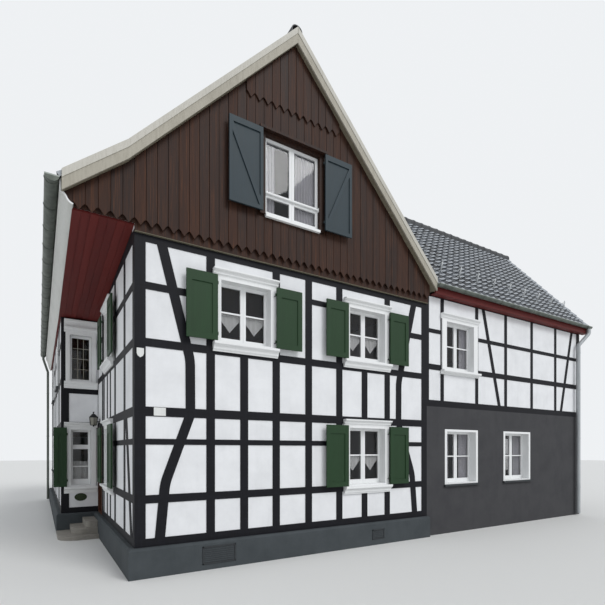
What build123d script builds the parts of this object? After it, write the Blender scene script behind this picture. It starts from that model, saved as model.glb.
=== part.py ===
"""Half timbered house: a gabled main block with a recess and entrance on its left, and a lower wing on its right.

Plan positions count from the front left corner of the main block, x to the right along the front,
y to the back and z up from the ground. The part's own origin is below the middle of its box.
"""

import os
from collections import namedtuple

from build123d import *

os.makedirs("parts", exist_ok=True)

# Plan
house_width = 6850
house_depth = 14000
recess_depth = 5160
rear_reach = 860
wing_length = 7210
wing_depth = 5600

# Walls
wall = 180
timber_depth = 140
panel_set_back = 10
masonry = 300
plinth_height = 500
plinth_proud = 110
plinth_chamfer = 35

# Levels of the timbers, each its lower and upper edge
Level = namedtuple("Level", "bottom top")
sill_beam = Level(plinth_height, 640)
low_rail = Level(1230, 1370)
mid_rail = Level(2220, 2320)
storey_beam = Level(2700, 2860)
window_rail = Level(3870, 4010)
bay_rail = Level(5140, 5250)
high_rail = Level(4830, 4955)
girt = Level(5620, 5800)
return_sill_rail = Level(3600, 3740)
return_head = Level(5500, 5620)
wing_beam = Level(3220, 3380)
wing_low_rail = Level(4140, 4280)
wing_high_rail = Level(5060, 5160)
wing_girt = Level(5960, 6040)

# Widths of the timbers
post = 160
brace = 170
wing_post = 120
# How far a brace is let into the beam at its end
housing = 50

# Roofs, to the top of the roof boarding below the tiles
ridge_x = 3010
ridge_z = 10400
right_eave_x = 6970
right_eave_z = 6270
bellcast_x = -130
bellcast_z = 7020
left_eave_x = -1060
left_eave_z = 6240
roof_rise = 230
verge = 200
tile_cover = 60
wing_ridge_z = 9580
wing_eave_out = 150
wing_eave_z = 6233
wing_verge = 190

# Roof trim
barge_depth = 250
barge_thick = 30
gutter_radius = 75
left_gutter_radius = 100
gutter_wall = 6
fascia_thick = 25
soffit_thick = 20
# The left eave's cove, from below the roof plate down to the soffit's edge
cove_top = 6060
cove_foot_x = -914
cove_front_z = 5860
cove_rear_z = 5556
cove_thick = 40
cove_bulge = 14
cove_joint = 8
cove_start = 120
gutter_drop = 40
pipe_radius = 45
wing_pipe_radius = 58
wing_pipe_inset = 270
wing_outlet_over = 100
wing_neck_foot = 5560
pipe_bend = 120
pipe_off_wall = 50
pipe_foot = 60
neck_drop = 150
neck_foot = 5420
ridge_radius = 120
ridge_wall = 20
barge_joint = 1

# Gable cladding
cladding = 100
frieze_proud = 40
cladding_bottom = 5930
frieze_bottom = 5750
skirt_bottom = 8850
skirt_thick = 25

# Floors
floor_thick = storey_beam.top - storey_beam.bottom

# Windows
casing_proud = 30
casing_head = 20
plain_proud = 8
lining = 35
casement_bar = 55
casement_thick = 50
glazing_bar = 28
leaf_joint = 2
glass_thick = 8
cornice_height = 130
cornice_out = 110
cornice_slab = 25
sill_out = 120
sill_slab = 45
fillet_out = 45
fillet_height = 14
quirk = 12
cove_run = 38
cove_hollow = 16
moulding_overhang = 35
entablature_top = 5500
stone_sill_height = 50
stone_sill_out = 60
gable_sill_out = 60
hood_out = 120
hood_height = 50

# Shutters
leaf_thick = 35
leaf_stile = 100
leaf_head = 180
leaf_foot = 105
braced_stile = 60
braced_head = 110
braced_foot = 75
leaf_brace = 80
panel_recess = 16
braced_recess = 22
back_recess = 6
hinge_out = 80
strap_length = 260
pintle_arm = 14
hinge_inset = 40
hinge_gap = 14
leaf_clearance = 8
eye_radius = 10
pin_radius = 6
eye_clearance = 0.3
eye_height = 40
strap_thick = 4

# Entrance
door_front = 4300
door_frame = 65
door_leaf_thick = 45
door_set_back = 60
door_clearance = 6
door_sill = 545
door_stop = 15
door_eye_radius = 10
door_pin_radius = 6
door_eye_height = 80
door_stile = 105
door_rail = 120
door_lock_rail = Level(1180, 1290)
door_panel_recess = 10
door_low_hinge = 250
door_high_hinge = 350
door_strap = 60
# Steps, each its top, its reach and length from the corner of the plinth and its rounding
step_sizes = ((90, 860, 1150, 420), (240, 560, 900, 300), (390, 270, 860, 120))

# Lantern
lamp_radius = 105
lamp_height = 210
lamp_out = 150
lamp_z = 2760
lamp_cap = 85
lamp_brim = 15
lamp_arm = 20
lamp_plate = (70, 150, 12)

left_end = left_eave_x - fascia_thick - 2 * left_gutter_radius
right_end = house_width + wing_length + wing_verge + barge_thick
front_end = -wing_eave_out - fascia_thick - 2 * gutter_radius
back_end = house_depth + verge + barge_thick
middle_x = (left_end + right_end) / 2
middle_y = (front_end + back_end) / 2


def spot(x, y, z=0):
    """A plan position in the part's own frame."""
    return (x - middle_x, y - middle_y, z)


def facing(x, y, turn):
    """A wall face seen from outside: x to the viewer's right, y up, and out of the wall along its normal."""
    return Plane(Location(spot(x, y), (0, 0, turn)) * Plane.XZ.location)


# Wall faces, each from its left end as seen from outside
front_face = facing(0, 0, 0)
left_face = facing(0, recess_depth, -90)
return_face = facing(-rear_reach, recess_depth, 0)
rear_left_face = facing(-rear_reach, house_depth, -90)
back_face = facing(house_width, house_depth, 180)
right_face = facing(house_width, wall, 90)
wing_front_face = facing(house_width, 0, 0)
wing_end_face = facing(house_width + wing_length, 0, 90)
wing_back_face = facing(house_width + wing_length, wing_depth, 180)

left_length = recess_depth - wall
return_length = rear_reach + wall
rear_left_length = house_depth - recess_depth
back_length = house_width + rear_reach
right_length = house_depth - 2 * wall
storeys = ((plinth_height, storey_beam.bottom), (storey_beam.top, girt.top))
wing_storey = ((wing_beam.bottom, wing_girt.top),)


def save(piece, name):
    piece.label = name
    export_step(piece, f"parts/{name}.step")


def bar(x0, x1, z0, z1, mode=Mode.ADD):
    """A rectangle between two corners of the current face."""
    with Locations(((x0 + x1) / 2, (z0 + z1) / 2)):
        Rectangle(x1 - x0, z1 - z0, mode=mode)


def rail(level, x0, x1):
    bar(x0, x1, level.bottom, level.top)


def upright(x, z0, z1, width=post):
    bar(x - width / 2, x + width / 2, z0, z1)


def bent_brace(*points, radius=900):
    """A brace whose centre line runs straight and turns in an arc."""
    with BuildLine() as centre:
        FilletPolyline(*points, radius=radius)
    trace(centre.line, line_width=brace)


def straight_brace(lower, upper, width=wing_post):
    with BuildLine() as centre:
        Line(lower, upper)
    trace(centre.line, line_width=width)


# A window in a wall face: its middle, the top of its sill and the outside of its casing, then the width of the
# casing's sides, the depth to its leaves, the height of its sill moulding, the number of leaves side by side, the
# height of their bottom rail, and its tiers of leaves, each with its foot, head and bar as shares of the height
Window = namedtuple(
    "Window",
    "face x sill width height stile reveal apron leaves foot tiers",
    defaults=(85, 150, 170, 2, 95, ((0, 1, 0.5),)),
)


def window_hole(window):
    """The clear opening that the window's lining fits."""
    half = window.width / 2 - window.stile
    return (window.x - half, window.x + half, window.sill, window.sill + window.height - casing_head)


front_upper_window = dict(sill=4100, width=1255, height=1200)
front_ground_window = dict(sill=1340, width=1255, height=1330)
front_windows = [
    Window(front_face, 2007, **front_upper_window),
    Window(front_face, 4955, **front_upper_window),
    Window(front_face, 4955, **front_ground_window),
]
left_window_x = recess_depth - 3050
left_reveal = 140
left_windows = [
    Window(left_face, left_window_x, reveal=left_reveal, **front_upper_window),
    Window(left_face, left_window_x, reveal=left_reveal, **front_ground_window),
]
lattice_tier = ((0, 1, None),)
sash_tiers = ((0, 0.69, 0.42), (0.69, 1, None))
return_windows = [
    Window(return_face, 455, stile=60, reveal=125, sill=3900, width=710, height=1280, leaves=1, foot=60, tiers=lattice_tier),
    Window(return_face, 455, sill=1180, width=710, height=1535, leaves=1, foot=150, tiers=sash_tiers),
]
gable_tiers = ((0, 0.27, None), (0.27, 1, None))
gable_size = dict(sill=6640, width=1470, height=1570, stile=80, reveal=50, foot=60, tiers=gable_tiers)
gable_window = Window(front_face.offset(cladding), 2970, **gable_size)
wing_windows = [Window(wing_front_face, 1229, sill=4170, width=1394, height=1300, stile=130, apron=110)]
plain_upper = dict(sill=4010, width=1200, height=1300)
plain_ground = dict(sill=1370, width=1200, height=1300)
deep_set = dict(sill=1250, width=1300, height=1410, stile=40, reveal=200)
wing_ground_windows = [Window(wing_front_face, x, **deep_set) for x in (1300, 3735)]
rear_left_windows = [
    Window(rear_left_face, x, **size) for x in (2150, 6350) for size in (plain_upper, plain_ground)
]
back_windows = [Window(back_face, x, **size) for x in (1950, 5750) for size in (plain_upper, plain_ground)]
back_gable_window = Window(back_face.offset(cladding), house_width - ridge_x, **gable_size)
right_windows = [Window(right_face, x, **size) for x in (7570, 11770) for size in (plain_upper, plain_ground)]
wing_plain_upper = dict(sill=4280, width=1200, height=1300)
wing_back_windows = [
    Window(wing_back_face, x, **size) for x in (2000, 5200) for size in (wing_plain_upper, deep_set)
]
wing_end_windows = [Window(wing_end_face, wing_depth / 2, **size) for size in (wing_plain_upper, deep_set)]


def timber_wall(face, draw_timbers, windows=(), corners=()):
    """The fused timbers of one wall, with its corner posts the full thickness of the wall."""
    with BuildPart() as timbers:
        with BuildSketch(face):
            draw_timbers()
            for window in windows:
                bar(*window_hole(window), mode=Mode.SUBTRACT)
        extrude(amount=-timber_depth)
        if corners:
            with BuildSketch(face):
                for x, z0, z1 in corners:
                    upright(x, z0, z1, width=wall)
                for window in windows:
                    bar(*window_hole(window), mode=Mode.SUBTRACT)
            extrude(amount=-wall)
    return timbers.part


def infill(face, x0, x1, levels, timbers, windows=()):
    """The rendered panels of each storey between the timbers, with the plaster behind them."""
    with BuildPart() as panels:
        with BuildSketch(face.offset(-panel_set_back)):
            for lower, upper in levels:
                bar(x0, x1, lower, upper)
            for window in windows:
                bar(*window_hole(window), mode=Mode.SUBTRACT)
        extrude(amount=panel_set_back - wall)
        add(timbers, mode=Mode.SUBTRACT)
    return panels.part


def together(*pieces):
    """Like pieces that share a node."""
    with BuildPart() as group:
        add(pieces)
    return group.part


# Front wall
front_posts = [1310, 2650, 3405, 4185, 5555]
short_posts = [1967, 4882]
upper_knee = (935, 3720)
lower_knee = (500, 1560)


def front_timbers():
    right = house_width - wall / 2
    for level in (sill_beam, low_rail, mid_rail, storey_beam, window_rail, girt):
        rail(level, wall / 2, right)
    for x in front_posts:
        upright(x, sill_beam.bottom, girt.top)
    for x in short_posts:
        upright(x, sill_beam.bottom, window_rail.top)
    rail(high_rail, wall / 2, front_posts[0])
    rail(high_rail, front_posts[-1], right)
    rail(bay_rail, front_posts[2], front_posts[3])
    upper_brace = [(440, girt.bottom + housing), upper_knee, (940, storey_beam.top - housing)]
    lower_brace = [(935, storey_beam.bottom + housing), lower_knee, (410, sill_beam.top - housing)]
    for points in (upper_brace, lower_brace):
        bent_brace(*points)
        bent_brace(*((house_width - x, z) for x, z in points))


def corner_pair(length, bottom=plinth_height, top=girt.top):
    """The corner posts at both ends of a wall."""
    return [(wall / 2, bottom, top), (length - wall / 2, bottom, top)]


front_frame = timber_wall(front_face, front_timbers, front_windows, corner_pair(house_width))
front_infill = infill(front_face, wall, house_width - wall, storeys, front_frame, front_windows)
save(front_frame, "front_frame")
save(front_infill, "front_infill")

# Left wall of the recess, split at the storey beam and beside the doorway
left_posts = [recess_depth - y for y in (1000, 2160, 3940)]
under_window_posts = [recess_depth - y for y in (2850, 3350)]
door_post = recess_depth - door_front + post / 2
left_plate = Level(girt.top, cove_front_z + 2 * soffit_thick)


def left_ground_timbers():
    for level in (sill_beam, low_rail, mid_rail):
        rail(level, door_post, left_length)
    for x in left_posts + [door_post]:
        upright(x, sill_beam.bottom, storey_beam.bottom)
    for x in under_window_posts:
        upright(x, sill_beam.bottom, low_rail.top, width=wing_post)
    straight_brace((left_length - 120, sill_beam.top - housing), (left_length - 640, storey_beam.bottom + housing),
                   width=brace)
    bar(0, left_length, sill_beam.bottom, storey_beam.bottom, mode=Mode.INTERSECT)


def left_upper_timbers():
    for level in (storey_beam, window_rail, high_rail, girt, left_plate):
        rail(level, 0, left_length)
    for x in left_posts + [door_post]:
        upright(x, storey_beam.bottom, girt.top)
    for x in under_window_posts:
        upright(x, storey_beam.bottom, window_rail.top, width=wing_post)


left_ground_frame = timber_wall(left_face, left_ground_timbers, left_windows[1:])
left_upper_frame = timber_wall(left_face, left_upper_timbers, left_windows[:1])
save(left_ground_frame, "left_ground_frame")
save(left_upper_frame, "left_upper_frame")


# Return wall, which faces the front behind the recess
def return_timbers():
    for level in (sill_beam, storey_beam, return_sill_rail, return_head, girt):
        rail(level, wall / 2, return_length - wall / 2)


return_frame = timber_wall(return_face, return_timbers, return_windows, corner_pair(return_length))
save(return_frame, "return_frame")
recess_infill = together(
    infill(left_face, door_post - post / 2, left_length, storeys[:1], left_ground_frame, left_windows[1:]),
    infill(left_face, 0, left_length, storeys[1:], left_upper_frame, left_windows[:1]),
    infill(return_face, wall, return_length - wall, storeys, return_frame, return_windows),
)
save(recess_infill, "recess_infill")


def grid_timbers(x0, x1, levels, posts):
    """Rails and posts of a side that repeats the front in a plain grid."""
    for level in levels:
        rail(level, x0, x1)
    for x in posts:
        upright(x, levels[0].bottom, levels[-1].top)


main_levels = (sill_beam, low_rail, mid_rail, storey_beam, window_rail, high_rail, girt)
wing_levels = (wing_beam, wing_low_rail, wing_high_rail, wing_girt)


# Rear part of the left side
def rear_left_timbers():
    grid_timbers(wall, rear_left_length - wall, main_levels, (950, 1470, 2830, 4250, 5670, 7030, 7800))


rear_left_frame = timber_wall(rear_left_face, rear_left_timbers, rear_left_windows)
save(rear_left_frame, "rear_left_frame")


# Back wall of the main block
def back_timbers():
    grid_timbers(wall / 2, back_length - wall / 2, main_levels, (1270, 2630, 3850, 5070, 6430))


back_frame = timber_wall(back_face, back_timbers, back_windows, corner_pair(back_length))
save(back_frame, "back_frame")


# Right wall of the main block, which the wing leans on
def right_timbers():
    grid_timbers(0, right_length, main_levels, (1300, 2700, 4100, 5500, 6890, 8250, 9670, 11090, 12450))


right_frame = timber_wall(right_face, right_timbers, right_windows)
save(right_frame, "right_frame")
rear_infill = together(
    infill(rear_left_face, wall, rear_left_length - wall, storeys, rear_left_frame, rear_left_windows),
    infill(back_face, wall, back_length - wall, storeys, back_frame, back_windows),
    infill(right_face, 0, right_length, storeys, right_frame, right_windows),
)
save(rear_infill, "rear_infill")


# Wing: a timbered upper storey over rendered masonry
def wing_front_timbers():
    grid_timbers(0, wing_length - wall / 2, (wing_beam, wing_girt), ())
    for x in (560, 1920, 3200, 4480, 5770):
        upright(x, wing_beam.bottom, wing_girt.top, width=wing_post)
    for x0, x1 in ((0, 560), (1920, wing_length - wall / 2)):
        rail(wing_low_rail, x0, x1)
        rail(wing_high_rail, x0, x1)
    upright(40, wing_beam.bottom, wing_girt.top, width=80)
    straight_brace((2915, wing_beam.top - housing), (2185, wing_girt.bottom + housing))
    straight_brace((6090, wing_beam.top - housing), (6745, wing_girt.bottom + housing))


wing_corner = wing_length - wall / 2
wing_front_frame = timber_wall(
    wing_front_face, wing_front_timbers, wing_windows, [(wing_corner, wing_beam.bottom, wing_girt.top)]
)
save(wing_front_frame, "wing_front_frame")


def wing_back_timbers():
    grid_timbers(wall / 2, wing_length, wing_levels, (1330, 2670, 3600, 4530, 5870, 7000))


wing_back_frame = timber_wall(
    wing_back_face, wing_back_timbers, wing_back_windows[::2], [(wall / 2, wing_beam.bottom, wing_girt.top)]
)
save(wing_back_frame, "wing_back_frame")


def wing_end_timbers():
    grid_timbers(wall, wing_depth - wall, wing_levels, (1300, 2130, wing_depth - 2130, wing_depth - 1300))


wing_end_frame = timber_wall(wing_end_face, wing_end_timbers, wing_end_windows[:1])
save(wing_end_frame, "wing_end_frame")
wing_infill = together(
    infill(wing_front_face, 0, wing_length - wall, wing_storey, wing_front_frame, wing_windows),
    infill(wing_back_face, wall, wing_length, wing_storey, wing_back_frame, wing_back_windows[::2]),
    infill(wing_end_face, wall, wing_depth - wall, wing_storey, wing_end_frame, wing_end_windows[:1]),
)
save(wing_infill, "wing_infill")


def masonry_wall(face, x0, x1, windows):
    with BuildPart() as rendered:
        with BuildSketch(face):
            bar(x0, x1, 0, wing_beam.bottom)
            for window in windows:
                bar(*window_hole(window), mode=Mode.SUBTRACT)
        extrude(amount=-masonry)
    return rendered.part


save(masonry_wall(wing_front_face, 0, wing_length, wing_ground_windows), "wing_ground_front")
save(masonry_wall(wing_end_face, masonry, wing_depth - masonry, wing_end_windows[1:]), "wing_ground_end")
save(masonry_wall(wing_back_face, 0, wing_length, wing_back_windows[1::2]), "wing_ground_back")


# Plinth and floors
def outline(corners):
    """A closed outline of plan positions."""
    with BuildLine() as border:
        Polyline(*(spot(x, y)[:2] for x, y in corners), close=True)
    make_face(border.edges())


def block_corners(inset):
    """The main block's outline, moved in from the wall faces."""
    return [
        (inset, inset),
        (house_width - inset, inset),
        (house_width - inset, house_depth - inset),
        (inset - rear_reach, house_depth - inset),
        (inset - rear_reach, recess_depth + inset),
        (inset, recess_depth + inset),
    ]


def wing_corners(inset):
    return [
        (house_width, inset),
        (house_width + wing_length - inset, inset),
        (house_width + wing_length - inset, wing_depth - inset),
        (house_width, wing_depth - inset),
    ]


with BuildPart() as plinth:
    with BuildSketch():
        outline(block_corners(-plinth_proud))
        with Locations(spot(house_width + plinth_proud / 2, (wing_depth - plinth_proud) / 2)[:2]):
            Rectangle(plinth_proud, wing_depth + plinth_proud, mode=Mode.SUBTRACT)
    extrude(amount=plinth_height)
    top_edges = plinth.faces().sort_by(Axis.Z).last.edges()
    wing_side = house_width - middle_x
    free_edges = [e for e in top_edges if e.length > 2 * plinth_proud and abs(e.center().X - wing_side) > 1]
    chamfer(free_edges, plinth_chamfer)
    with BuildSketch():
        outline(block_corners(masonry))
    extrude(amount=plinth_height, mode=Mode.SUBTRACT)
save(plinth.part, "plinth")


def floor_slab(top, corners, cut_by=()):
    with BuildPart() as slab:
        with BuildSketch(Plane.XY.offset(top - floor_thick)):
            outline(corners)
        extrude(amount=floor_thick)
        if cut_by:
            add(cut_by, mode=Mode.SUBTRACT)
    return slab.part


block_frames = [front_frame, return_frame, back_frame]
ground_floors = together(
    floor_slab(plinth_height, block_corners(masonry)),
    floor_slab(plinth_height, wing_corners(masonry)),
)
save(ground_floors, "ground_floors")
upper_floors = together(
    floor_slab(storey_beam.top, block_corners(timber_depth), block_frames),
    floor_slab(wing_beam.bottom, wing_corners(masonry)),
)
save(upper_floors, "upper_floors")
attic_floors = together(
    floor_slab(girt.top, block_corners(wall)),
    floor_slab(wing_girt.top, wing_corners(wall)),
)
save(attic_floors, "attic_floors")

# Roof planes
right_slope = (ridge_z - right_eave_z) / (right_eave_x - ridge_x)
left_slope = (ridge_z - bellcast_z) / (ridge_x - bellcast_x)
bellcast_slope = (bellcast_z - left_eave_z) / (bellcast_x - left_eave_x)
wing_ridge_y = wing_depth / 2
wing_slope = (wing_ridge_z - wing_eave_z) / (wing_ridge_y + wing_eave_out)


def boarding_height(x):
    """The top of the main roof's boarding above a plan position."""
    if x > ridge_x:
        return ridge_z - right_slope * (x - ridge_x)
    if x > bellcast_x:
        return ridge_z - left_slope * (ridge_x - x)
    return bellcast_z - bellcast_slope * (bellcast_x - x)


def wing_height(y):
    return wing_ridge_z - wing_slope * abs(y - wing_ridge_y)


def slope_plate(face, line, length, rise=roof_rise):
    """A roof slope: a line across the section, given its plumb thickness and run out along the ridge."""
    lower = [(x, z - rise) for x, z in reversed(line)]
    with BuildPart() as plate:
        with BuildSketch(face):
            with BuildLine():
                Polyline(*line, *lower, close=True)
            make_face()
        extrude(amount=-length)
    return plate.part


main_roof_face = front_face.offset(verge)
main_roof_length = house_depth + 2 * verge
left_line = [(ridge_x, ridge_z), (bellcast_x, bellcast_z), (left_eave_x, left_eave_z)]
right_line = [(ridge_x, ridge_z), (right_eave_x, right_eave_z)]
save(slope_plate(main_roof_face, left_line, main_roof_length), "main_roof_left")
save(slope_plate(main_roof_face, right_line, main_roof_length), "main_roof_right")

# The wing's roof runs into the right slope of the main roof, where its valleys are cut
wing_roof_face = wing_end_face.offset(wing_verge)
wing_roof_length = house_width + wing_length + wing_verge - ridge_x
with BuildPart() as main_attic:
    with BuildSketch(main_roof_face.offset(wing_eave_out)):
        with BuildLine():
            Polyline((ridge_x, 0), (right_eave_x, 0), *reversed(right_line), close=True)
        make_face()
    extrude(amount=-main_roof_length - wing_eave_out)


def wing_slope_plate(eave_y, ridge_y=wing_ridge_y):
    with BuildPart() as plate:
        line = [(ridge_y, wing_ridge_z), (eave_y, wing_eave_z)]
        add(slope_plate(wing_roof_face, line, wing_roof_length))
        add(main_attic.part, mode=Mode.SUBTRACT)
    return plate.part


save(wing_slope_plate(-wing_eave_out), "wing_roof_front")
save(wing_slope_plate(wing_depth + wing_eave_out), "wing_roof_back")


def ridge_cap(face, x, z, length, slope):
    """A half-round ridge, hollow below, whose skirts stand on the slopes beside it."""
    inner = ridge_radius - ridge_wall
    skirt = slope * inner
    with BuildPart() as cap:
        with BuildSketch(face):
            with Locations((x, z)):
                Circle(ridge_radius)
                Circle(inner, mode=Mode.SUBTRACT)
                Rectangle(3 * ridge_radius, 2 * ridge_radius, align=(Align.CENTER, Align.MAX), mode=Mode.SUBTRACT)
                Rectangle(2 * ridge_radius, skirt, align=(Align.CENTER, Align.MAX))
                Rectangle(2 * inner, skirt, align=(Align.CENTER, Align.MAX), mode=Mode.SUBTRACT)
        extrude(amount=-length)
    return cap.part


wing_ridge_meets = ridge_x + (ridge_z - wing_ridge_z) / right_slope
ridge_caps = together(
    ridge_cap(main_roof_face, ridge_x, ridge_z, main_roof_length, min(left_slope, right_slope)),
    ridge_cap(wing_roof_face, wing_ridge_y, wing_ridge_z,
              house_width + wing_length + wing_verge - wing_ridge_meets - ridge_radius, wing_slope),
)
save(ridge_caps, "ridge_caps")


# Gable walls between the top floor and the roof
def gable_outline(bottom, x0, x1, height_at, rise, breaks):
    """A wall outline that ends below the roof plates, with their breaks between its sides."""
    tops = [(x, height_at(x) - rise) for x in (x1, *breaks, x0)]
    with BuildLine() as border:
        Polyline((x0, bottom), (x1, bottom), *tops, close=True)
    make_face(border.edges())


def gable_wall(face, thick, window=None, **edges):
    with BuildPart() as gable:
        with BuildSketch(face):
            gable_outline(**edges)
            if window:
                bar(*window_hole(window), mode=Mode.SUBTRACT)
        extrude(amount=thick)
    return gable.part


main_roof = dict(height_at=boarding_height, rise=roof_rise, breaks=(ridge_x, bellcast_x))
wing_roof = dict(height_at=wing_height, rise=roof_rise, breaks=(wing_ridge_y,))


def seen_from_behind(x):
    return boarding_height(house_width - x)


main_roof_behind = dict(
    height_at=seen_from_behind, rise=roof_rise, breaks=(house_width - bellcast_x, house_width - ridge_x)
)
front_gable_wall = gable_wall(front_face, -wall, gable_window, bottom=girt.top, x0=-rear_reach, x1=house_width,
                              **main_roof)
with BuildPart() as above_soffit:
    add(front_gable_wall)
    with BuildSketch(front_face):
        bar(left_eave_x, 0, girt.top, cove_front_z + soffit_thick)
    extrude(amount=-wall, mode=Mode.SUBTRACT)
gable_walls = together(
    above_soffit.part,
    gable_wall(back_face, -wall, back_gable_window, bottom=girt.top, x0=0, x1=back_length, **main_roof_behind),
    gable_wall(wing_end_face, -wall, bottom=wing_girt.top, x0=0, x1=wing_depth, **wing_roof),
)
save(gable_walls, "gable_walls")

# Knee walls close the gap between the top of the side walls and the roof
with BuildPart() as knee_walls:
    with BuildSketch(front_face.offset(-wall)):
        gable_outline(girt.top, house_width - wall, house_width, boarding_height, roof_rise, ())
    extrude(amount=-(house_depth - 2 * wall))
    with BuildSketch(front_face.offset(-recess_depth - wall)):
        gable_outline(girt.top, -rear_reach, wall - rear_reach, boarding_height, roof_rise, ())
    extrude(amount=-(house_depth - recess_depth - 2 * wall))
save(knee_walls.part, "knee_walls")

# Board cladding with a frieze below it and a skirt above the window
def cladding_outline(bottom):
    """The front gable from a level up, its left side cut to the slope of the eave's cove."""
    foot = cove_foot_x + cove_joint
    head = left_eave_x + cove_thick + cove_joint
    tops = [(x, boarding_height(x) - roof_rise) for x in (house_width, ridge_x, bellcast_x, head)]
    with BuildLine() as border:
        Polyline((foot, bottom), (house_width, bottom), *tops, close=True)
    make_face(border.edges())
    bar(*window_hole(gable_window), mode=Mode.SUBTRACT)


with BuildPart() as front_cladding:
    with BuildSketch(front_face):
        cladding_outline(frieze_bottom)
        bar(left_eave_x, 0, frieze_bottom, cove_front_z + soffit_thick, mode=Mode.SUBTRACT)
    extrude(amount=frieze_proud)
    with BuildSketch(front_face.offset(frieze_proud)):
        cladding_outline(cladding_bottom)
    extrude(amount=cladding - frieze_proud)
    skirt_left = ridge_x - (ridge_z - skirt_bottom - roof_rise) / left_slope
    skirt_right = ridge_x + (ridge_z - skirt_bottom - roof_rise) / right_slope
    with BuildSketch(front_face.offset(cladding)):
        gable_outline(skirt_bottom, skirt_left + 1, skirt_right - 1, boarding_height, roof_rise, (ridge_x,))
    extrude(amount=skirt_thick)
save(front_cladding.part, "front_cladding")

rear_cladding = together(
    gable_wall(back_face, cladding, back_gable_window, bottom=girt.top, x0=0, x1=back_length, **main_roof_behind),
    gable_wall(wing_end_face, cladding, bottom=wing_girt.top, x0=0, x1=wing_depth, **wing_roof),
)
save(rear_cladding, "rear_cladding")


# Barge boards on the verges, parted at the ridge by a fine joint
def barge_board(face, line):
    """A board on the verge that follows a roof slope from just off the ridge."""
    (x0, z0), (x1, z1) = line[:2]
    joint = barge_joint if x1 > x0 else -barge_joint
    top = [(x0 + joint, z0 + joint * (z1 - z0) / (x1 - x0) + tile_cover)]
    top += [(x, z + tile_cover) for x, z in line[1:]]
    return slope_plate(face.offset(barge_thick), top, barge_thick, rise=barge_depth + tile_cover)


def reflected(line, length):
    return [(length - x, z) for x, z in line]


back_roof_face = back_face.offset(verge)
wing_front_line = [(wing_ridge_y, wing_ridge_z), (-wing_eave_out, wing_eave_z)]
wing_back_line = [(wing_ridge_y, wing_ridge_z), (wing_depth + wing_eave_out, wing_eave_z)]
barge_boards = together(
    barge_board(main_roof_face, left_line),
    barge_board(main_roof_face, right_line),
    barge_board(back_roof_face, reflected(left_line, house_width)),
    barge_board(back_roof_face, reflected(right_line, house_width)),
    barge_board(wing_roof_face, wing_front_line),
    barge_board(wing_roof_face, wing_back_line),
)
save(barge_boards, "barge_boards")

# Boarded soffits under the eaves: the recess's one falls towards the return wall
eave_line = wing_eave_z - roof_rise
with BuildPart() as recess_soffit:
    with BuildSketch(Plane(Location(spot(0, 0)) * Plane.YZ.location)):
        with BuildLine():
            Polyline((0, cove_front_z), (recess_depth, cove_rear_z), (recess_depth, cove_rear_z + soffit_thick),
                     (0, cove_front_z + soffit_thick), close=True)
        make_face()
    extrude(amount=cove_foot_x)
with BuildPart() as rear_soffit:
    with BuildSketch(Plane.XY.offset(cove_rear_z)):
        outline([(cove_foot_x, recess_depth), (-rear_reach, recess_depth), (-rear_reach, house_depth),
                 (cove_foot_x, house_depth)])
    extrude(amount=soffit_thick)
with BuildPart() as wing_soffits:
    with BuildSketch(Plane.XY.offset(eave_line - soffit_thick)):
        wing_far = house_width + wing_length + wing_verge
        outline([(right_eave_x, -wing_eave_out), (wing_far, -wing_eave_out), (wing_far, 0), (right_eave_x, 0)])
        outline([(right_eave_x, wing_depth), (wing_far, wing_depth), (wing_far, wing_depth + wing_eave_out),
                 (right_eave_x, wing_depth + wing_eave_out)])
    extrude(amount=soffit_thick)
save(together(recess_soffit.part, rear_soffit.part, wing_soffits.part), "soffits")


def board_along(face, x0, x1, z0, z1, thick):
    """A flat board on a face."""
    with BuildPart() as board:
        with BuildSketch(face):
            bar(x0, x1, z0, z1)
        extrude(amount=thick)
    return board.part


# Eaves faces: each stands at the edge of a roof plate and looks out
left_eave_face = facing(left_eave_x, house_depth + verge, -90)
right_eave_start = wing_depth + wing_eave_out + fascia_thick + 2 * gutter_radius
right_eave_face = facing(right_eave_x, right_eave_start, 90)
wing_front_eave_face = facing(right_eave_x, -wing_eave_out, 0)
wing_back_eave_face = facing(house_width + wing_length + wing_verge, wing_depth + wing_eave_out, 180)
right_eave_length = house_depth + verge - right_eave_start
wing_eave_length = house_width + wing_length + wing_verge - right_eave_x
wing_fascia_bottom = eave_line - soffit_thick


def cove(foot_z, y):
    """The left eave's section at a plan position: an upright board behind the gutter, then an ogee to its foot."""
    outer = left_eave_x - fascia_thick
    with BuildSketch(Plane(Location(spot(0, y)) * Plane.XZ.location)) as section:
        with BuildLine():
            Polyline((left_eave_x, left_eave_z - roof_rise), (left_eave_x, left_eave_z), (outer, left_eave_z),
                     (outer, cove_top))
            middle = ((outer + cove_foot_x) / 2, (cove_top + foot_z) / 2)
            SagittaArc((outer, cove_top), middle, cove_bulge)
            SagittaArc(middle, (cove_foot_x, foot_z), -cove_bulge)
            under_plate = (left_eave_x + cove_thick, left_eave_z - roof_rise + cove_thick * bellcast_slope)
            Polyline((cove_foot_x, foot_z), (cove_foot_x, foot_z + soffit_thick), under_plate,
                     (left_eave_x, left_eave_z - roof_rise))
        make_face()
    return section.sketch


with BuildPart() as left_cove:
    loft([cove(cove_front_z, -cove_start), cove(cove_rear_z, recess_depth)], ruled=True)
    loft([cove(cove_rear_z, recess_depth), cove(cove_rear_z, house_depth + verge)], ruled=True)
right_fascia = board_along(right_eave_face, 0, right_eave_length, right_eave_z - roof_rise, right_eave_z, fascia_thick)
save(together(left_cove.part, right_fascia), "fascias")
wing_eave_faces = (wing_front_eave_face, wing_back_eave_face)
save(together(*(board_along(face, 0, wing_eave_length, wing_fascia_bottom, wing_eave_z, fascia_thick)
                for face in wing_eave_faces)), "wing_fascias")


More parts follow.
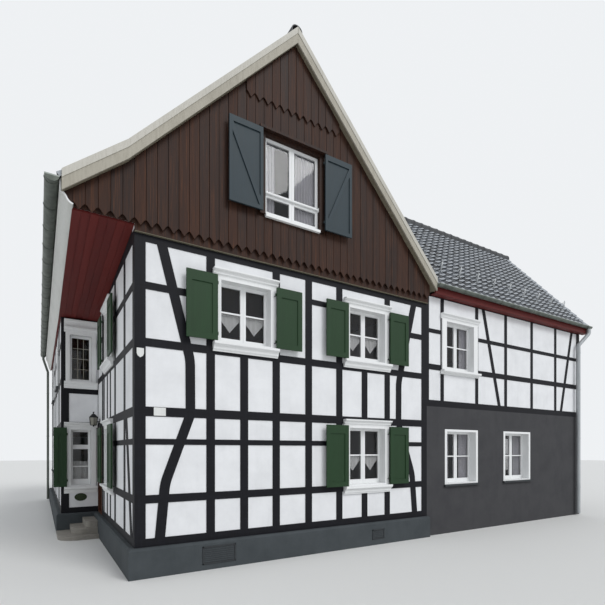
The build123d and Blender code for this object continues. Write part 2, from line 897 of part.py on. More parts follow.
def gutter(face, length, eave_z, radius=gutter_radius):
    """A half-round gutter with closed ends, its back edge on the fascia."""
    end_face = Plane(face.location * Plane.YZ.location)
    with BuildPart() as channel:
        with BuildSketch(end_face):
            with Locations((eave_z - gutter_drop, fascia_thick + radius)):
                Circle(radius)
                Rectangle(radius, 2 * radius, align=(Align.MIN, Align.CENTER), mode=Mode.SUBTRACT)
        extrude(amount=length)
        with BuildSketch(end_face.offset(gutter_wall)):
            with Locations((eave_z - gutter_drop, fascia_thick + radius)):
                Circle(radius - gutter_wall)
        extrude(amount=length - 2 * gutter_wall, mode=Mode.SUBTRACT)
    return channel.part


save(together(
    gutter(left_eave_face, main_roof_length, left_eave_z, left_gutter_radius),
    gutter(right_eave_face, right_eave_length, right_eave_z),
    *(gutter(face, wing_eave_length, wing_eave_z) for face in wing_eave_faces),
), "gutters")


# Downpipes: a swan neck from the gutter to the wall, then straight down
def downpipe(*points, radius=pipe_radius):
    with BuildPart() as pipe:
        with BuildLine() as route:
            FilletPolyline(*(spot(*point) for point in points), radius=pipe_bend)
        with BuildSketch(Plane(origin=route.line @ 0, z_dir=route.line % 0)):
            Circle(radius)
        sweep()
    return pipe.part


left_gutter_x = left_eave_x - fascia_thick - left_gutter_radius
wing_gutter_y = -wing_eave_out - fascia_thick - gutter_radius
left_pipe_x = -rear_reach - plinth_proud - pipe_off_wall
wing_pipe_x = house_width + wing_length - wing_pipe_inset
wing_outlet_x = house_width + wing_length + wing_outlet_over
left_outlet = left_eave_z - gutter_drop - left_gutter_radius
wing_outlet = wing_eave_z - gutter_drop - gutter_radius
left_pipe_y = house_depth - 300
wing_pipe_y = -pipe_off_wall - wing_pipe_radius
downpipes = together(
    downpipe((left_gutter_x, left_pipe_y, left_outlet), (left_gutter_x, left_pipe_y, left_outlet - neck_drop),
             (left_pipe_x, left_pipe_y, neck_foot), (left_pipe_x, left_pipe_y, pipe_foot)),
    downpipe((wing_outlet_x, wing_gutter_y, wing_outlet), (wing_outlet_x, wing_gutter_y, wing_outlet - neck_drop),
             (wing_pipe_x, wing_pipe_y, wing_neck_foot), (wing_pipe_x, wing_pipe_y, pipe_foot),
             radius=wing_pipe_radius),
)
save(downpipes, "downpipes")


# Windows
def opening(window):
    """The clear opening inside the lining."""
    x0, x1, z0, z1 = window_hole(window)
    return (x0 + lining, x1 - lining, z0 + lining, z1 - lining)


def across(window):
    """The plane through a window's middle that looks along the wall: x up, y out of the wall."""
    return Plane(window.face.location * Location((window.x, 0, 0)) * Plane.YZ.location)


def frame_around(window, proud):
    """The lining of a window's opening and the flat casing round it, as an unfinished part."""
    half = window.width / 2
    with BuildPart() as surround:
        with BuildSketch(window.face):
            bar(*window_hole(window))
            bar(*opening(window), mode=Mode.SUBTRACT)
        extrude(amount=-window.reveal - casement_thick)
        with BuildSketch(window.face):
            bar(window.x - half, window.x + half, window.sill, window.sill + window.height)
            bar(*opening(window), mode=Mode.SUBTRACT)
        extrude(amount=proud)
    return surround.part


def moulding(window, edge, foot, out, slab_height):
    """A moulding run past both sides of the casing. From its outer edge towards its foot it has a slab, a quirk, a
    cove and a fillet."""
    down = 1 if foot > edge else -1
    slab = edge + down * slab_height
    cove_start = slab + down * quirk
    cove_end = foot - down * cove_run
    fillet = cove_end + down * fillet_height
    with BuildPart() as run:
        with BuildSketch(across(window)):
            with BuildLine():
                Polyline((foot, fillet_out - quirk), (foot, 0), (edge, 0), (edge, out), (slab, out),
                         (slab, out - quirk), (cove_start, out - quirk))
                SagittaArc((cove_start, out - quirk), (cove_end, fillet_out + quirk), -down * cove_hollow)
                Polyline((cove_end, fillet_out + quirk), (cove_end, fillet_out), (fillet, fillet_out),
                         (fillet, fillet_out - quirk), (foot, fillet_out - quirk))
            make_face()
        extrude(amount=window.width / 2 + moulding_overhang, both=True)
    return run.part


def casing(window):
    """The moulded surround of the better windows: frame, sill and cornice."""
    top = window.sill + window.height
    with BuildPart() as surround:
        add(frame_around(window, casing_proud))
        add(moulding(window, top + cornice_height, top, cornice_out, cornice_slab))
        add(moulding(window, window.sill, window.sill - window.apron, sill_out, sill_slab))
    return surround.part


def stone_sill(window):
    """A plain sloped sill below a window without mouldings."""
    with BuildPart() as slab:
        with BuildSketch(across(window)):
            with BuildLine():
                bottom = window.sill - stone_sill_height
                Polyline((bottom, 0), (window.sill, 0), (window.sill, plain_proud),
                         (window.sill - plain_proud, stone_sill_out), (bottom, stone_sill_out), close=True)
            make_face()
        extrude(amount=window.width / 2 + moulding_overhang, both=True)
    return slab.part


def gable_casing(window):
    """A gable window's board casing with a plain hood and no mouldings."""
    half = window.width / 2
    top = window.sill + window.height
    x0, x1, z0, _ = opening(window)
    with BuildPart() as surround:
        add(frame_around(window, casing_proud))
        with BuildSketch(window.face):
            bar(window.x - half - moulding_overhang, window.x + half + moulding_overhang, top, top + hood_height)
        extrude(amount=hood_out)
        with BuildSketch(window.face.offset(casing_proud)):
            bar(x0, x1, window.sill, z0)
        extrude(amount=-casing_proud - window.reveal - casement_thick, mode=Mode.SUBTRACT)
    return surround.part


def gable_sill(window):
    """A sloped sill between the sides of a gable window's casing."""
    x0, x1, z0, _ = opening(window)
    with BuildPart() as slab:
        with BuildSketch(across(window)):
            with BuildLine():
                Polyline((window.sill, -window.reveal - casement_thick), (z0, -window.reveal - casement_thick),
                         (z0, -window.reveal), (window.sill, gable_sill_out),
                         (window.sill - stone_sill_height, gable_sill_out), (window.sill - stone_sill_height, 0),
                         (window.sill, 0), close=True)
            make_face()
        extrude(amount=(x1 - x0) / 2, both=True)
    return slab.part


def lights(window):
    """Each leaf of a window: its sides, foot, head, bottom rail and the level of its bar."""
    x0, x1, z0, z1 = opening(window)
    pitch = (x1 - x0) / window.leaves
    for low, high, bar_share in window.tiers:
        foot = z0 + low * (z1 - z0) + (leaf_joint if low else 0)
        head = z0 + high * (z1 - z0) - (leaf_joint if high < 1 else 0)
        rail_height = casement_bar if low else window.foot
        level = bar_share and foot + rail_height + bar_share * (head - foot - rail_height - casement_bar)
        for leaf in range(window.leaves):
            left = x0 + leaf * pitch + leaf_joint
            right = x0 + (leaf + 1) * pitch - leaf_joint
            yield (left, right, foot, head, rail_height, level)


def casements(window):
    """The leaves' frames, with their glazing bars on the outside."""
    face = window.face.offset(-window.reveal)
    with BuildPart() as sashes:
        with BuildSketch(face):
            for a, b, foot, head, rail_height, level in lights(window):
                bar(a, b, foot, head)
                bar(a + casement_bar, b - casement_bar, foot + rail_height, head - casement_bar, mode=Mode.SUBTRACT)
        extrude(amount=-casement_thick)
        if any(level for *_, level in lights(window)):
            with BuildSketch(face):
                for a, b, foot, head, rail_height, level in lights(window):
                    if level:
                        bar(a + casement_bar, b - casement_bar, level - glazing_bar / 2, level + glazing_bar / 2)
            extrude(amount=-casement_thick / 2)
    return sashes.part


def panes(window):
    """One pane in each leaf, behind the glazing bars."""
    with BuildPart() as glass:
        with BuildSketch(window.face.offset(-window.reveal - casement_thick / 2)):
            for a, b, foot, head, rail_height, level in lights(window):
                bar(a + casement_bar, b - casement_bar, foot + rail_height, head - casement_bar)
        extrude(amount=-glass_thick)
    return glass.part


moulded_windows = front_windows + left_windows + return_windows + wing_windows
plain_windows = wing_ground_windows + rear_left_windows + back_windows + right_windows
plain_windows += wing_back_windows + wing_end_windows
gable_windows = [gable_window, back_gable_window]
all_windows = moulded_windows + plain_windows + gable_windows
return_upper = return_windows[0]
with BuildPart() as tall_casing:
    add(casing(return_upper))
    cornice_top = return_upper.sill + return_upper.height + cornice_height
    add(moulding(return_upper, entablature_top, cornice_top, cornice_out, cornice_slab))
save(
    together(tall_casing.part, *(casing(w) for w in moulded_windows if w is not return_upper),
             *(frame_around(w, plain_proud) for w in plain_windows), *(gable_sill(w) for w in gable_windows)),
    "window_casings",
)
save(together(*(gable_casing(w) for w in gable_windows)), "gable_casings")
save(together(*(stone_sill(w) for w in plain_windows)), "stone_sills")
save(together(*(casements(w) for w in all_windows)), "casements")
save(together(*(panes(w) for w in all_windows)), "window_glass")


# Shutters
def axis_face(window, hand):
    """The wall plane moved onto a shutter's hinge axis, with x = 0 there. hand is -1 on the left, 1 on the right."""
    axis_x = window.x + hand * (window.width / 2 - hinge_inset)
    return Plane(window.face.location * Location((axis_x, window.sill, hinge_out)))


def level_plane(face, z):
    """The level plane at a height above a hinge axis's foot: x along the wall, y out of it, facing down."""
    return Plane(face.location * Location((0, z, 0)) * Plane.XZ.location)


def shutter(window, hand, braced=False):
    """A framed leaf that lies open, with its straps on the side that faces the wall. A braced one is boarded, with a
    diagonal from its hinged foot."""
    width = window.width / 2 - hinge_inset - hinge_gap - leaf_clearance / 2
    height = window.height - 2 * leaf_clearance
    near = hinge_gap
    far = hinge_gap + width
    face = axis_face(window, hand)
    with BuildPart() as leaf:
        with BuildSketch(face.offset(strap_thick / 2)):
            bar(hand * near, hand * far, leaf_clearance, leaf_clearance + height)
        extrude(amount=leaf_thick)
        stile = braced_stile if braced else leaf_stile
        low = leaf_clearance + (braced_foot if braced else leaf_foot)
        high = leaf_clearance + height - (braced_head if braced else leaf_head)
        front_recess = braced_recess if braced else panel_recess
        for side, depth in ((strap_thick / 2 + leaf_thick, -front_recess), (strap_thick / 2, back_recess)):
            with BuildSketch(face.offset(side)):
                bar(hand * (near + stile), hand * (far - stile), low, high)
                if braced:
                    with BuildLine() as diagonal:
                        Line((hand * (near + stile / 2), low), (hand * (far - stile / 2), high))
                    trace(diagonal.line, line_width=leaf_brace, mode=Mode.SUBTRACT)
            extrude(amount=depth, mode=Mode.SUBTRACT)
        for z in hinge_heights(window):
            with BuildSketch(face.offset(-strap_thick / 2)):
                bar(0, hand * (near + strap_length), z, z + eye_height)
            extrude(amount=strap_thick)
            with BuildSketch(level_plane(face, z)):
                Circle(eye_radius)
            extrude(amount=-eye_height)
            with BuildSketch(level_plane(face, z)):
                Circle(pin_radius + eye_clearance)
            extrude(amount=-eye_height, mode=Mode.SUBTRACT)
    return leaf.part


def hinge_heights(window):
    """Lower edges of the two hinge eyes above the window's sill."""
    return (window.height * 0.1, window.height * 0.9 - eye_height)


def pintles(window, hand):
    """Two iron arms on the casing, each with an upright pin for a shutter's eye."""
    face = axis_face(window, hand)
    arm = hinge_out - casing_proud
    with BuildPart() as irons:
        for z in hinge_heights(window):
            with BuildSketch(level_plane(face, z - eye_clearance)):
                Circle(eye_radius - 2)
                with Locations((0, -arm / 2)):
                    Rectangle(2 * pin_radius, arm)
            extrude(amount=pintle_arm)
            with BuildSketch(level_plane(face, z - eye_clearance)):
                Circle(pin_radius)
            extrude(amount=-eye_height - 4)
    return irons.part


front_upper_left, front_upper_right, front_ground = front_windows
left_upper, left_ground = left_windows
shutters = {
    "front_upper_left_shutter_left": (front_upper_left, -1),
    "front_upper_left_shutter_right": (front_upper_left, 1),
    "front_upper_right_shutter_left": (front_upper_right, -1),
    "front_upper_right_shutter_right": (front_upper_right, 1),
    "front_ground_shutter_left": (front_ground, -1),
    "front_ground_shutter_right": (front_ground, 1),
    "recess_upper_shutter_rear": (left_upper, -1),
    "recess_upper_shutter_front": (left_upper, 1),
    "recess_ground_shutter_rear": (left_ground, -1),
    "recess_ground_shutter_front": (left_ground, 1),
    "return_shutter": (return_windows[1], -1),
    "gable_shutter_left": (gable_window, -1),
    "gable_shutter_right": (gable_window, 1),
}
for name, (window, hand) in shutters.items():
    save(shutter(window, hand, braced=window is gable_window), name)
save(together(*(pintles(window, hand) for window, hand in shutters.values())), "shutter_pintles")

# Entrance, in the rear end of the left wall: a framed doorway with a light above the door
door_width = recess_depth - door_front
door_head = storey_beam.bottom
door_top = mid_rail.bottom - 30
door_inner = -door_set_back - door_leaf_thick
door_axis = Plane(left_face.location * Location((door_frame, 0, door_inner - door_eye_radius - 1)))
door_left = door_frame + door_clearance
door_right = door_width - door_frame - door_clearance
door_hinges = (door_sill + door_low_hinge, door_top - door_high_hinge)
with BuildPart() as door_surround:
    with BuildSketch(left_face):
        bar(0, door_width, plinth_height, door_head)
        bar(door_frame, door_width - door_frame, door_sill, door_top, mode=Mode.SUBTRACT)
        bar(door_frame, door_width - door_frame, door_top + door_frame, door_head - door_frame, mode=Mode.SUBTRACT)
    extrude(amount=door_inner)
    with BuildSketch(left_face):
        bar(door_frame, door_width - door_frame, door_sill, door_top)
        bar(door_frame + door_stop, door_width - door_frame - door_stop, door_sill, door_top - door_stop,
            mode=Mode.SUBTRACT)
    extrude(amount=door_clearance - door_set_back)
    for z in door_hinges:
        with BuildSketch(level_plane(door_axis, z - eye_clearance)):
            Circle(door_eye_radius - 2)
            Rectangle(door_eye_radius, door_eye_radius + 1, align=(Align.CENTER, Align.MIN))
        extrude(amount=pintle_arm)
        with BuildSketch(level_plane(door_axis, z - eye_clearance)):
            Circle(door_pin_radius)
        extrude(amount=-door_eye_height)
save(door_surround.part, "door_frame")
save(board_along(left_face.offset(-door_set_back), door_frame, door_width - door_frame, door_top + door_frame,
                 door_head - door_frame, -glass_thick), "door_toplight")

with BuildPart() as entrance_door:
    with BuildSketch(left_face.offset(-door_set_back)):
        bar(door_left, door_right, door_sill + door_clearance, door_top - door_clearance)
    extrude(amount=-door_leaf_thick)
    with BuildSketch(left_face.offset(-door_set_back)):
        for low, high in ((door_sill + door_rail, door_lock_rail.bottom), (door_lock_rail.top, door_top - door_rail)):
            bar(door_left + door_stile, door_right - door_stile, low, high)
    extrude(amount=-door_panel_recess, mode=Mode.SUBTRACT)
    for z in door_hinges:
        with BuildSketch(level_plane(door_axis, z)):
            Circle(door_eye_radius)
            with Locations((door_clearance, 0)):
                Rectangle(door_strap, door_eye_radius + 1, align=(Align.MIN, Align.MIN))
        extrude(amount=-door_eye_height)
        with BuildSketch(level_plane(door_axis, z)):
            Circle(door_pin_radius + eye_clearance)
        extrude(amount=-door_eye_height, mode=Mode.SUBTRACT)
save(entrance_door.part, "entrance_door")

# Stone steps with rounded ends, against the plinth and the return wall
corner = spot(-plinth_proud, recess_depth - plinth_proud)[:2]
with BuildPart() as steps:
    for rise, reach, length, rounding in step_sizes:
        with BuildSketch():
            with Locations(corner):
                Rectangle(reach, length, align=(Align.MAX, Align.MAX))
            fillet(vertices().group_by(Axis.Y)[0].sort_by(Axis.X).first, rounding)
        extrude(amount=rise)
save(steps.part, "steps")

# Lantern on a bracket above the door
with BuildPart() as lantern:
    mount = Plane(left_face.location * Location((door_width / 2, lamp_z + lamp_height / 2, 0)))
    lamp = Plane(left_face.location * Location((door_width / 2, lamp_z, lamp_out)) * Plane.XZ.location)
    with BuildSketch(mount):
        Rectangle(*lamp_plate[:2])
    extrude(amount=lamp_plate[2])
    with BuildSketch(mount):
        Rectangle(lamp_arm, lamp_arm)
    extrude(amount=lamp_out)
    with BuildSketch(lamp):
        RegularPolygon(lamp_radius * 0.7, 6)
    with BuildSketch(lamp.offset(-lamp_height)):
        RegularPolygon(lamp_radius, 6)
    loft()
    with BuildSketch(lamp.offset(-lamp_height)):
        RegularPolygon(lamp_radius + lamp_brim, 6)
    with BuildSketch(lamp.offset(-lamp_height - lamp_cap)):
        RegularPolygon(lamp_radius * 0.35, 6)
    loft()
save(lantern.part, "lantern")
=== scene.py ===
"""Looks of the half timbered house: its tiles, boards, joinery, ironwork and finishes."""

from math import cos, hypot, pi, radians, sin

import bmesh
import bpy
import numpy as np
from mathutils import Matrix, Vector


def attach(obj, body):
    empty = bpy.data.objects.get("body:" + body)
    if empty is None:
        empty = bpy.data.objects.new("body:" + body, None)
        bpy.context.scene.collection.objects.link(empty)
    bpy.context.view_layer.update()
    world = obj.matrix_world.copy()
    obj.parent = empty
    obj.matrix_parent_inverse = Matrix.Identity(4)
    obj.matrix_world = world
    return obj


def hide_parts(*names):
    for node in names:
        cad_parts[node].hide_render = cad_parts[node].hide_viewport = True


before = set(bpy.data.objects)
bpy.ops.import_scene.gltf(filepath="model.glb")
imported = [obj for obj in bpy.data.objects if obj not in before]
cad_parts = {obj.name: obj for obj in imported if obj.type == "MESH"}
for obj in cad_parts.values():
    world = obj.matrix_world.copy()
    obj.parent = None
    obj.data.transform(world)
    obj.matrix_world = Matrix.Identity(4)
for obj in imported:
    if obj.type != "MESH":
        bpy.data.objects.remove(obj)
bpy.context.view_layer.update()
scene = bpy.context.scene
chance = np.random.default_rng(7)

# Camera, level and with a raised picture centre
camera = bpy.data.objects.new("camera", bpy.data.cameras.new("camera"))
camera.location = (-7.8475, -14.5225, 2.13)
camera.rotation_euler = (radians(90), 0, radians(-31.3))
camera.data.sensor_width = 36
camera.data.lens = 25.81
camera.data.shift_y = 0.2438
scene.collection.objects.link(camera)
scene.camera = camera

# The house's own measures in metres, from its front left corner
MIDDLE_X = 6.4975
MIDDLE_Y = 6.9525
HOUSE_WIDTH = 6.85
HOUSE_DEPTH = 14.0
RECESS_DEPTH = 5.16
REAR_REACH = 0.86
WING_LENGTH = 7.21
WING_DEPTH = 5.6
RIDGE = (3.01, 10.4)
RIGHT_EAVE = (6.97, 6.27)
BELLCAST = (-0.13, 7.02)
LEFT_EAVE = (-1.06, 6.24)
ROOF_RISE = 0.23
VERGE = 0.2
WING_RIDGE = (2.8, 9.58)
WING_EAVE = (-0.15, 6.233)
WING_VERGE = 0.19
BARGE_THICK = 0.03
CLADDING = 0.1


def facing(x, y, turn):
    """A wall face from a plan position: local x to the viewer's right, y up and z out of the wall."""
    place = Matrix.Translation((x - MIDDLE_X, y - MIDDLE_Y, 0))
    return place @ Matrix.Rotation(radians(turn), 4, "Z") @ Matrix.Rotation(radians(90), 4, "X")


FRONT = facing(0, 0, 0)
LEFT = facing(0, RECESS_DEPTH, -90)
RETURN = facing(-REAR_REACH, RECESS_DEPTH, 0)
BACK = facing(HOUSE_WIDTH, HOUSE_DEPTH, 180)
WING_FRONT = facing(HOUSE_WIDTH, 0, 0)
WING_END = facing(HOUSE_WIDTH + WING_LENGTH, 0, 90)


def spot(x, y, z):
    """A position counted from the front left corner, in the frame."""
    return Vector((x - MIDDLE_X, y - MIDDLE_Y, z))


class Value:
    """A socket of a finish that takes part in sums as a number does."""

    def __init__(self, finish, socket):
        self.finish = finish
        self.socket = socket

    def sum(self, operation, *values):
        """A Math node on these values."""
        return self.finish.node("Math", dict(enumerate(values)), operation=operation)

    def __add__(self, other):
        return self.sum("ADD", self, other)

    __radd__ = __add__

    def __mul__(self, other):
        return self.sum("MULTIPLY", self, other)

    __rmul__ = __mul__

    def __sub__(self, other):
        return self.sum("SUBTRACT", self, other)

    def __rsub__(self, other):
        return self.sum("SUBTRACT", other, self)

    def between(self, low, high):
        """0 below low, 1 above high and even in between."""
        return self.finish.node("MapRange", {"Value": self, "From Min": low, "From Max": high})


def tint(code):
    """A colour as written on a paint chart, in linear light."""
    parts = [int(code[i : i + 2], 16) / 255 for i in (1, 3, 5)]
    return (*(c / 12.92 if c < 0.04045 else ((c + 0.055) / 1.055) ** 2.4 for c in parts), 1)


class Finish:
    """A material in the making: its nodes, and the sockets of its shader."""

    def __init__(self, name, **constants):
        self.material = bpy.data.materials.new(name)
        self.material.use_nodes = True
        self.tree = self.material.node_tree
        self.shader = self.tree.nodes["Principled BSDF"]
        for socket, value in constants.items():
            self.shader.inputs[socket.replace("_", " ")].default_value = value
        self.place = self.node("TexCoord", output="Object")

    def node(self, kind, inputs=(), output=0, **settings):
        """A new node, with its settings first and then the values or links of its sockets."""
        made = self.tree.nodes.new("ShaderNode" + kind)
        for setting, value in settings.items():
            setattr(made, setting, value)
        for socket, value in dict(inputs).items():
            self.feed(made.inputs[socket], value)
        return Value(self, made.outputs[output])

    def feed(self, socket, value):
        """A number or colour set in a socket, or a value linked to it."""
        if isinstance(value, Value):
            self.tree.links.new(value.socket, socket)
        else:
            socket.default_value = value

    def axis(self, letter):
        """How far along X, Y or Z a point of the piece lies, in metres."""
        return self.node("SeparateXYZ", {0: self.place}, output=letter)

    def grain(self, across, detail, rough=0.6):
        """Noise with this many waves to the metre along x, y and z."""
        stretched = self.node("Mapping", {"Vector": self.place, "Scale": across})
        inputs = {"Vector": stretched, "Scale": 1, "Detail": detail, "Roughness": rough}
        return self.node("TexNoise", inputs)

    def mix(self, share, one, other):
        """A colour between two others."""
        return self.node("Mix", {0: share, 6: one, 7: other}, output=2, data_type="RGBA")

    def set(self, **sockets):
        """Values or links for the shader's sockets."""
        for socket, value in sockets.items():
            self.feed(self.shader.inputs[socket.replace("_", " ")], value)

    def raised(self, height, depth, strength=0.5, over=None):
        """Relief in the surface from a height value."""
        inputs = {"Strength": strength, "Distance": depth, "Height": height}
        if over:
            inputs["Normal"] = over
        return self.node("Bump", inputs)


# Finishes
def painted_wood(name, base, worn, grain=(45, 45, 1.2), gloss=0.5, wear=0.35, relief=0.0016):
    """Paint over wood, thin where it has weathered, its grain along the axis with the fewest waves."""
    wood = Finish(name, Specular_IOR_Level=0.3)
    streaks = wood.grain(grain, detail=5, rough=0.65)
    patches = wood.grain((1.6, 1.6, 1.1), detail=3)
    weathered = (streaks.between(0.45, 0.8) * 0.6 + patches.between(0.5, 0.85) * 0.4) * wear
    wood.set(
        Base_Color=wood.mix(weathered, tint(base), tint(worn)),
        Roughness=gloss + streaks * 0.18 + patches * 0.08,
        Normal=wood.raised(streaks + patches * 0.4, depth=relief),
    )
    return wood.material


def stained_boards(name, dark, warm, pale, along="Z", streak=0.45):
    """Stained softwood boards, each with its own depth of stain and long grain."""
    wood = Finish(name, Specular_IOR_Level=0.25)
    waves = {"Z": (70, 70, 1.4), "Y": (70, 1.4, 70)}[along]
    own = wood.node("Attribute", output="Fac", attribute_name="tone")
    streaks = wood.grain(waves, detail=6, rough=0.7)
    broad = wood.grain(tuple(w / 6 for w in waves), detail=3)
    body = wood.mix((own * 0.7 + broad.between(0.35, 0.75) * 0.5).between(0, 1.2), tint(dark), tint(warm))
    wood.set(
        Base_Color=wood.mix(streaks.between(0.5, 0.78) * streak, body, tint(pale)),
        Roughness=0.5 + streaks * 0.2 + own * 0.08,
        Normal=wood.raised(streaks + broad * 0.5, depth=0.002, strength=0.6),
    )
    return wood.material


def wall_render(name, base, shade, grit=90):
    """Hand-floated render: fine grit over slow waves, with faint clouds in its colour."""
    wall = Finish(name, Specular_IOR_Level=0.25)
    fine = wall.grain((grit, grit, grit), detail=3, rough=0.7)
    slow = wall.grain((2.2, 2.2, 2.2), detail=4)
    stain = wall.grain((5, 5, 0.7), detail=4).between(0.5, 0.85)
    cloud = (slow.between(0.38, 0.7) * 0.6 + stain * 0.4).between(0, 1)
    floated = wall.raised(slow, depth=0.02, strength=0.25)
    wall.set(
        Base_Color=wall.mix(cloud, tint(base), tint(shade)),
        Roughness=0.85 + fine * 0.1,
        Normal=wall.raised(fine, depth=0.0022, strength=0.35, over=floated),
    )
    return wall.material


def beam_stain():
    """Black stained oak with a low sheen, paler grain running up and along, and knots."""
    beam = Finish("beam_black", Specular_IOR_Level=0.22)
    upright = beam.grain((38, 38, 2.2), detail=5, rough=0.7)
    level = beam.grain((2.2, 2.2, 38), detail=5, rough=0.7)
    knots = beam.grain((3, 3, 3), detail=3)
    grain = upright * 0.55 + level * 0.45
    beam.set(
        Base_Color=beam.mix(grain.between(0.4, 0.75) * 0.8, tint("#0b0b10"), tint("#1d1e26")),
        Roughness=0.5 + grain * 0.2 + knots * 0.08,
        Normal=beam.raised(grain + knots * 0.6, depth=0.004, strength=0.55),
    )
    return beam.material


def roof_tile(name, dark, pale, nose, lichen):
    """Grey clay pantile: no two alike, with pale lichen, and where the tone is 2 the pale nose colour: a
    painted highlight along each lip, and the pale verge column.
    """
    clay = Finish(name)
    tone = clay.node("Attribute", output="Fac", attribute_name="tone")
    speckle = clay.grain((55, 55, 55), detail=4, rough=0.75)
    bloom = clay.grain((9, 9, 9), detail=3)
    body = clay.mix((tone * 0.8 + bloom.between(0.35, 0.75) * 0.4).between(0, 1.1), tint(dark), tint(pale))
    # Where the tone is 2, the pale nose colour: a painted highlight along each lip, and the pale verge
    # column.
    worn = clay.mix(tone.between(1.2, 1.8) * (0.5 + speckle * 0.5), body, tint(nose))
    spots = speckle.between(0.56, 0.66) * bloom.between(0.42, 0.62)
    clay.set(
        Base_Color=clay.mix(spots * 0.45, worn, tint(lichen)),
        Roughness=0.4 + speckle * 0.3,
        Normal=clay.raised(speckle, depth=0.002, strength=0.5),
    )
    return clay.material


def metal(name, base, dull, metallic, rough=0.45):
    """Weathered sheet metal with cloudy patina and fine streaks down it."""
    sheet = Finish(name, Metallic=metallic)
    patina = sheet.grain((6, 6, 2), detail=5)
    streak = sheet.grain((40, 40, 1.5), detail=3)
    sheet.set(
        Base_Color=sheet.mix((patina * 0.7 + streak * 0.3).between(0.35, 0.7), tint(base), tint(dull)),
        Roughness=rough + patina * 0.25,
        Normal=sheet.raised(patina, depth=0.001, strength=0.3),
    )
    return sheet.material


def gutter_metal():
    """Dull zinc, brighter along the rolled lip."""
    sheet = Finish("gutter_zinc", Metallic=0.4, Specular_IOR_Level=0.4)
    patina = sheet.grain((6, 6, 2), detail=5)
    lip = sheet.axis("Z").between(6.176, 6.184)
    dull = sheet.mix(patina.between(0.35, 0.7), tint("#6a7069"), tint("#4f554f"))
    sheet.set(
        Base_Color=sheet.mix(lip, dull, tint("#9aa09b")),
        Roughness=0.4 + patina * 0.3,
        Normal=sheet.raised(patina, depth=0.001, strength=0.3),
    )
    return sheet.material


def pipe_metal():
    """Downpipes: dull zinc on the left of the house, pale grey paint on the wing."""
    sheet = Finish("downpipe_metal", Metallic=0.2, Specular_IOR_Level=0.4)
    patina = sheet.grain((6, 6, 2), detail=5)
    streak = sheet.grain((40, 40, 1.5), detail=3)
    cloud = (patina * 0.7 + streak * 0.3).between(0.35, 0.7)
    painted = sheet.mix(cloud, tint("#b4b8ba"), tint("#989da0"))
    bare = sheet.mix(cloud, tint("#6a7069"), tint("#4f554f"))
    sheet.set(
        Base_Color=sheet.mix(sheet.axis("X").between(0, 0.1), bare, painted),
        Roughness=0.4 + patina * 0.25,
        Normal=sheet.raised(patina, depth=0.001, strength=0.3),
    )
    return sheet.material


def stone(name, base, pale):
    """Dressed stone with fine flecks and faint level beds."""
    block = Finish(name)
    fleck = block.grain((120, 120, 120), detail=4, rough=0.8)
    bed = block.grain((7, 7, 20), detail=4)
    block.set(
        Base_Color=block.mix((fleck * 0.5 + bed * 0.5).between(0.35, 0.7), tint(base), tint(pale)),
        Roughness=0.65 + fleck * 0.2,
        Normal=block.raised(fleck + bed, depth=0.004, strength=0.5),
    )
    return block.material


def pane_glass():
    """Old window glass: mostly clear with a faint waviness, its dark base colour at a quarter cover painted
    shade for the dim rooms behind.
    """
    glass = Finish("pane_glass", Roughness=0.03, Alpha=0.25, IOR=1.5)
    # Painted shade: a dark base colour, at the quarter cover of Alpha, that dims the rooms seen through the
    # panes.
    glass.shader.inputs["Base Color"].default_value = tint("#11151a")
    glass.shader.inputs["Specular IOR Level"].default_value = 0.9
    wave = glass.grain((2.5, 2.5, 2.5), detail=1)
    glass.set(Normal=glass.raised(wave, depth=0.01, strength=0.12))
    return glass.material


def cloth(name, colour, holes=0.0):
    """Woven cotton, with open lace where holes is above 0."""
    weave = Finish(name, Roughness=0.9)
    threads = weave.node("Math", {0: weave.axis("Z") * 900}, operation="SINE")
    # Painted shade: grey streaks down the cloth, standing in for the shade in its folds.
    fold_shade = weave.grain((12, 12, 2), detail=3)
    weave.set(
        Base_Color=weave.mix(fold_shade.between(0.35, 0.7) * 0.4, tint(colour), tint("#c9c8c4")),
        Normal=weave.raised(threads, depth=0.0004, strength=0.3),
    )
    if holes:
        eyelets = weave.node("TexVoronoi", {"Vector": weave.place, "Scale": 75}, feature="F1")
        cells = {"Vector": weave.place, "Scale": 16}
        bands = weave.node("TexVoronoi", cells, feature="DISTANCE_TO_EDGE")
        open_work = (1 - eyelets.between(0.2, 0.3)) * bands.between(0.06, 0.1)
        weave.set(Alpha=1 - open_work * holes)
    return weave.material


BEAM = beam_stain()
LIME = wall_render("lime_render", "#e9eaec", "#d9dadc")
WING_RENDER = wall_render("wing_render", "#454547", "#3a3a3d", grit=70)
PLINTH = wall_render("plinth_paint", "#474c4f", "#3a3f42", grit=60)
BROWN = stained_boards("brown_boards", "#1c0f0a", "#3b2318", "#7a4c30", streak=0.5)
DOOR_BROWN = painted_wood("door_brown", "#4a2818", "#6a4630", gloss=0.45)
CREAM = painted_wood("cream_paint", "#aaa598", "#857f72", grain=(30, 30, 6), wear=0.8)
VERGE_CREAM = painted_wood("verge_cream", "#c3c0b7", "#9c978b", grain=(30, 30, 6), wear=0.7)
OXBLOOD = stained_boards("oxblood_boards", "#571a18", "#6c2622", "#8a3a32", along="Y", streak=0.35)
FASCIA = painted_wood("fascia_paint", "#cfd0cc", "#a8a9a4", wear=0.8)
BEAD = painted_wood("bead_grey", "#6c6757", "#55513f", wear=0.8)
GUTTER = gutter_metal()
PIPE = pipe_metal()
GALVANISED = metal("galvanised_steel", "#e2e5e6", "#b9bdbe", metallic=0.0)
WHITE = painted_wood("white_paint", "#eceded", "#d5d6d6", gloss=0.35, wear=0.5, relief=0.0007)
GREEN = painted_wood("green_paint", "#1a361c", "#294a2c", gloss=0.42, wear=0.6)
SLATE = painted_wood("slate_paint", "#2b373d", "#3c4a52", gloss=0.45, wear=0.6)
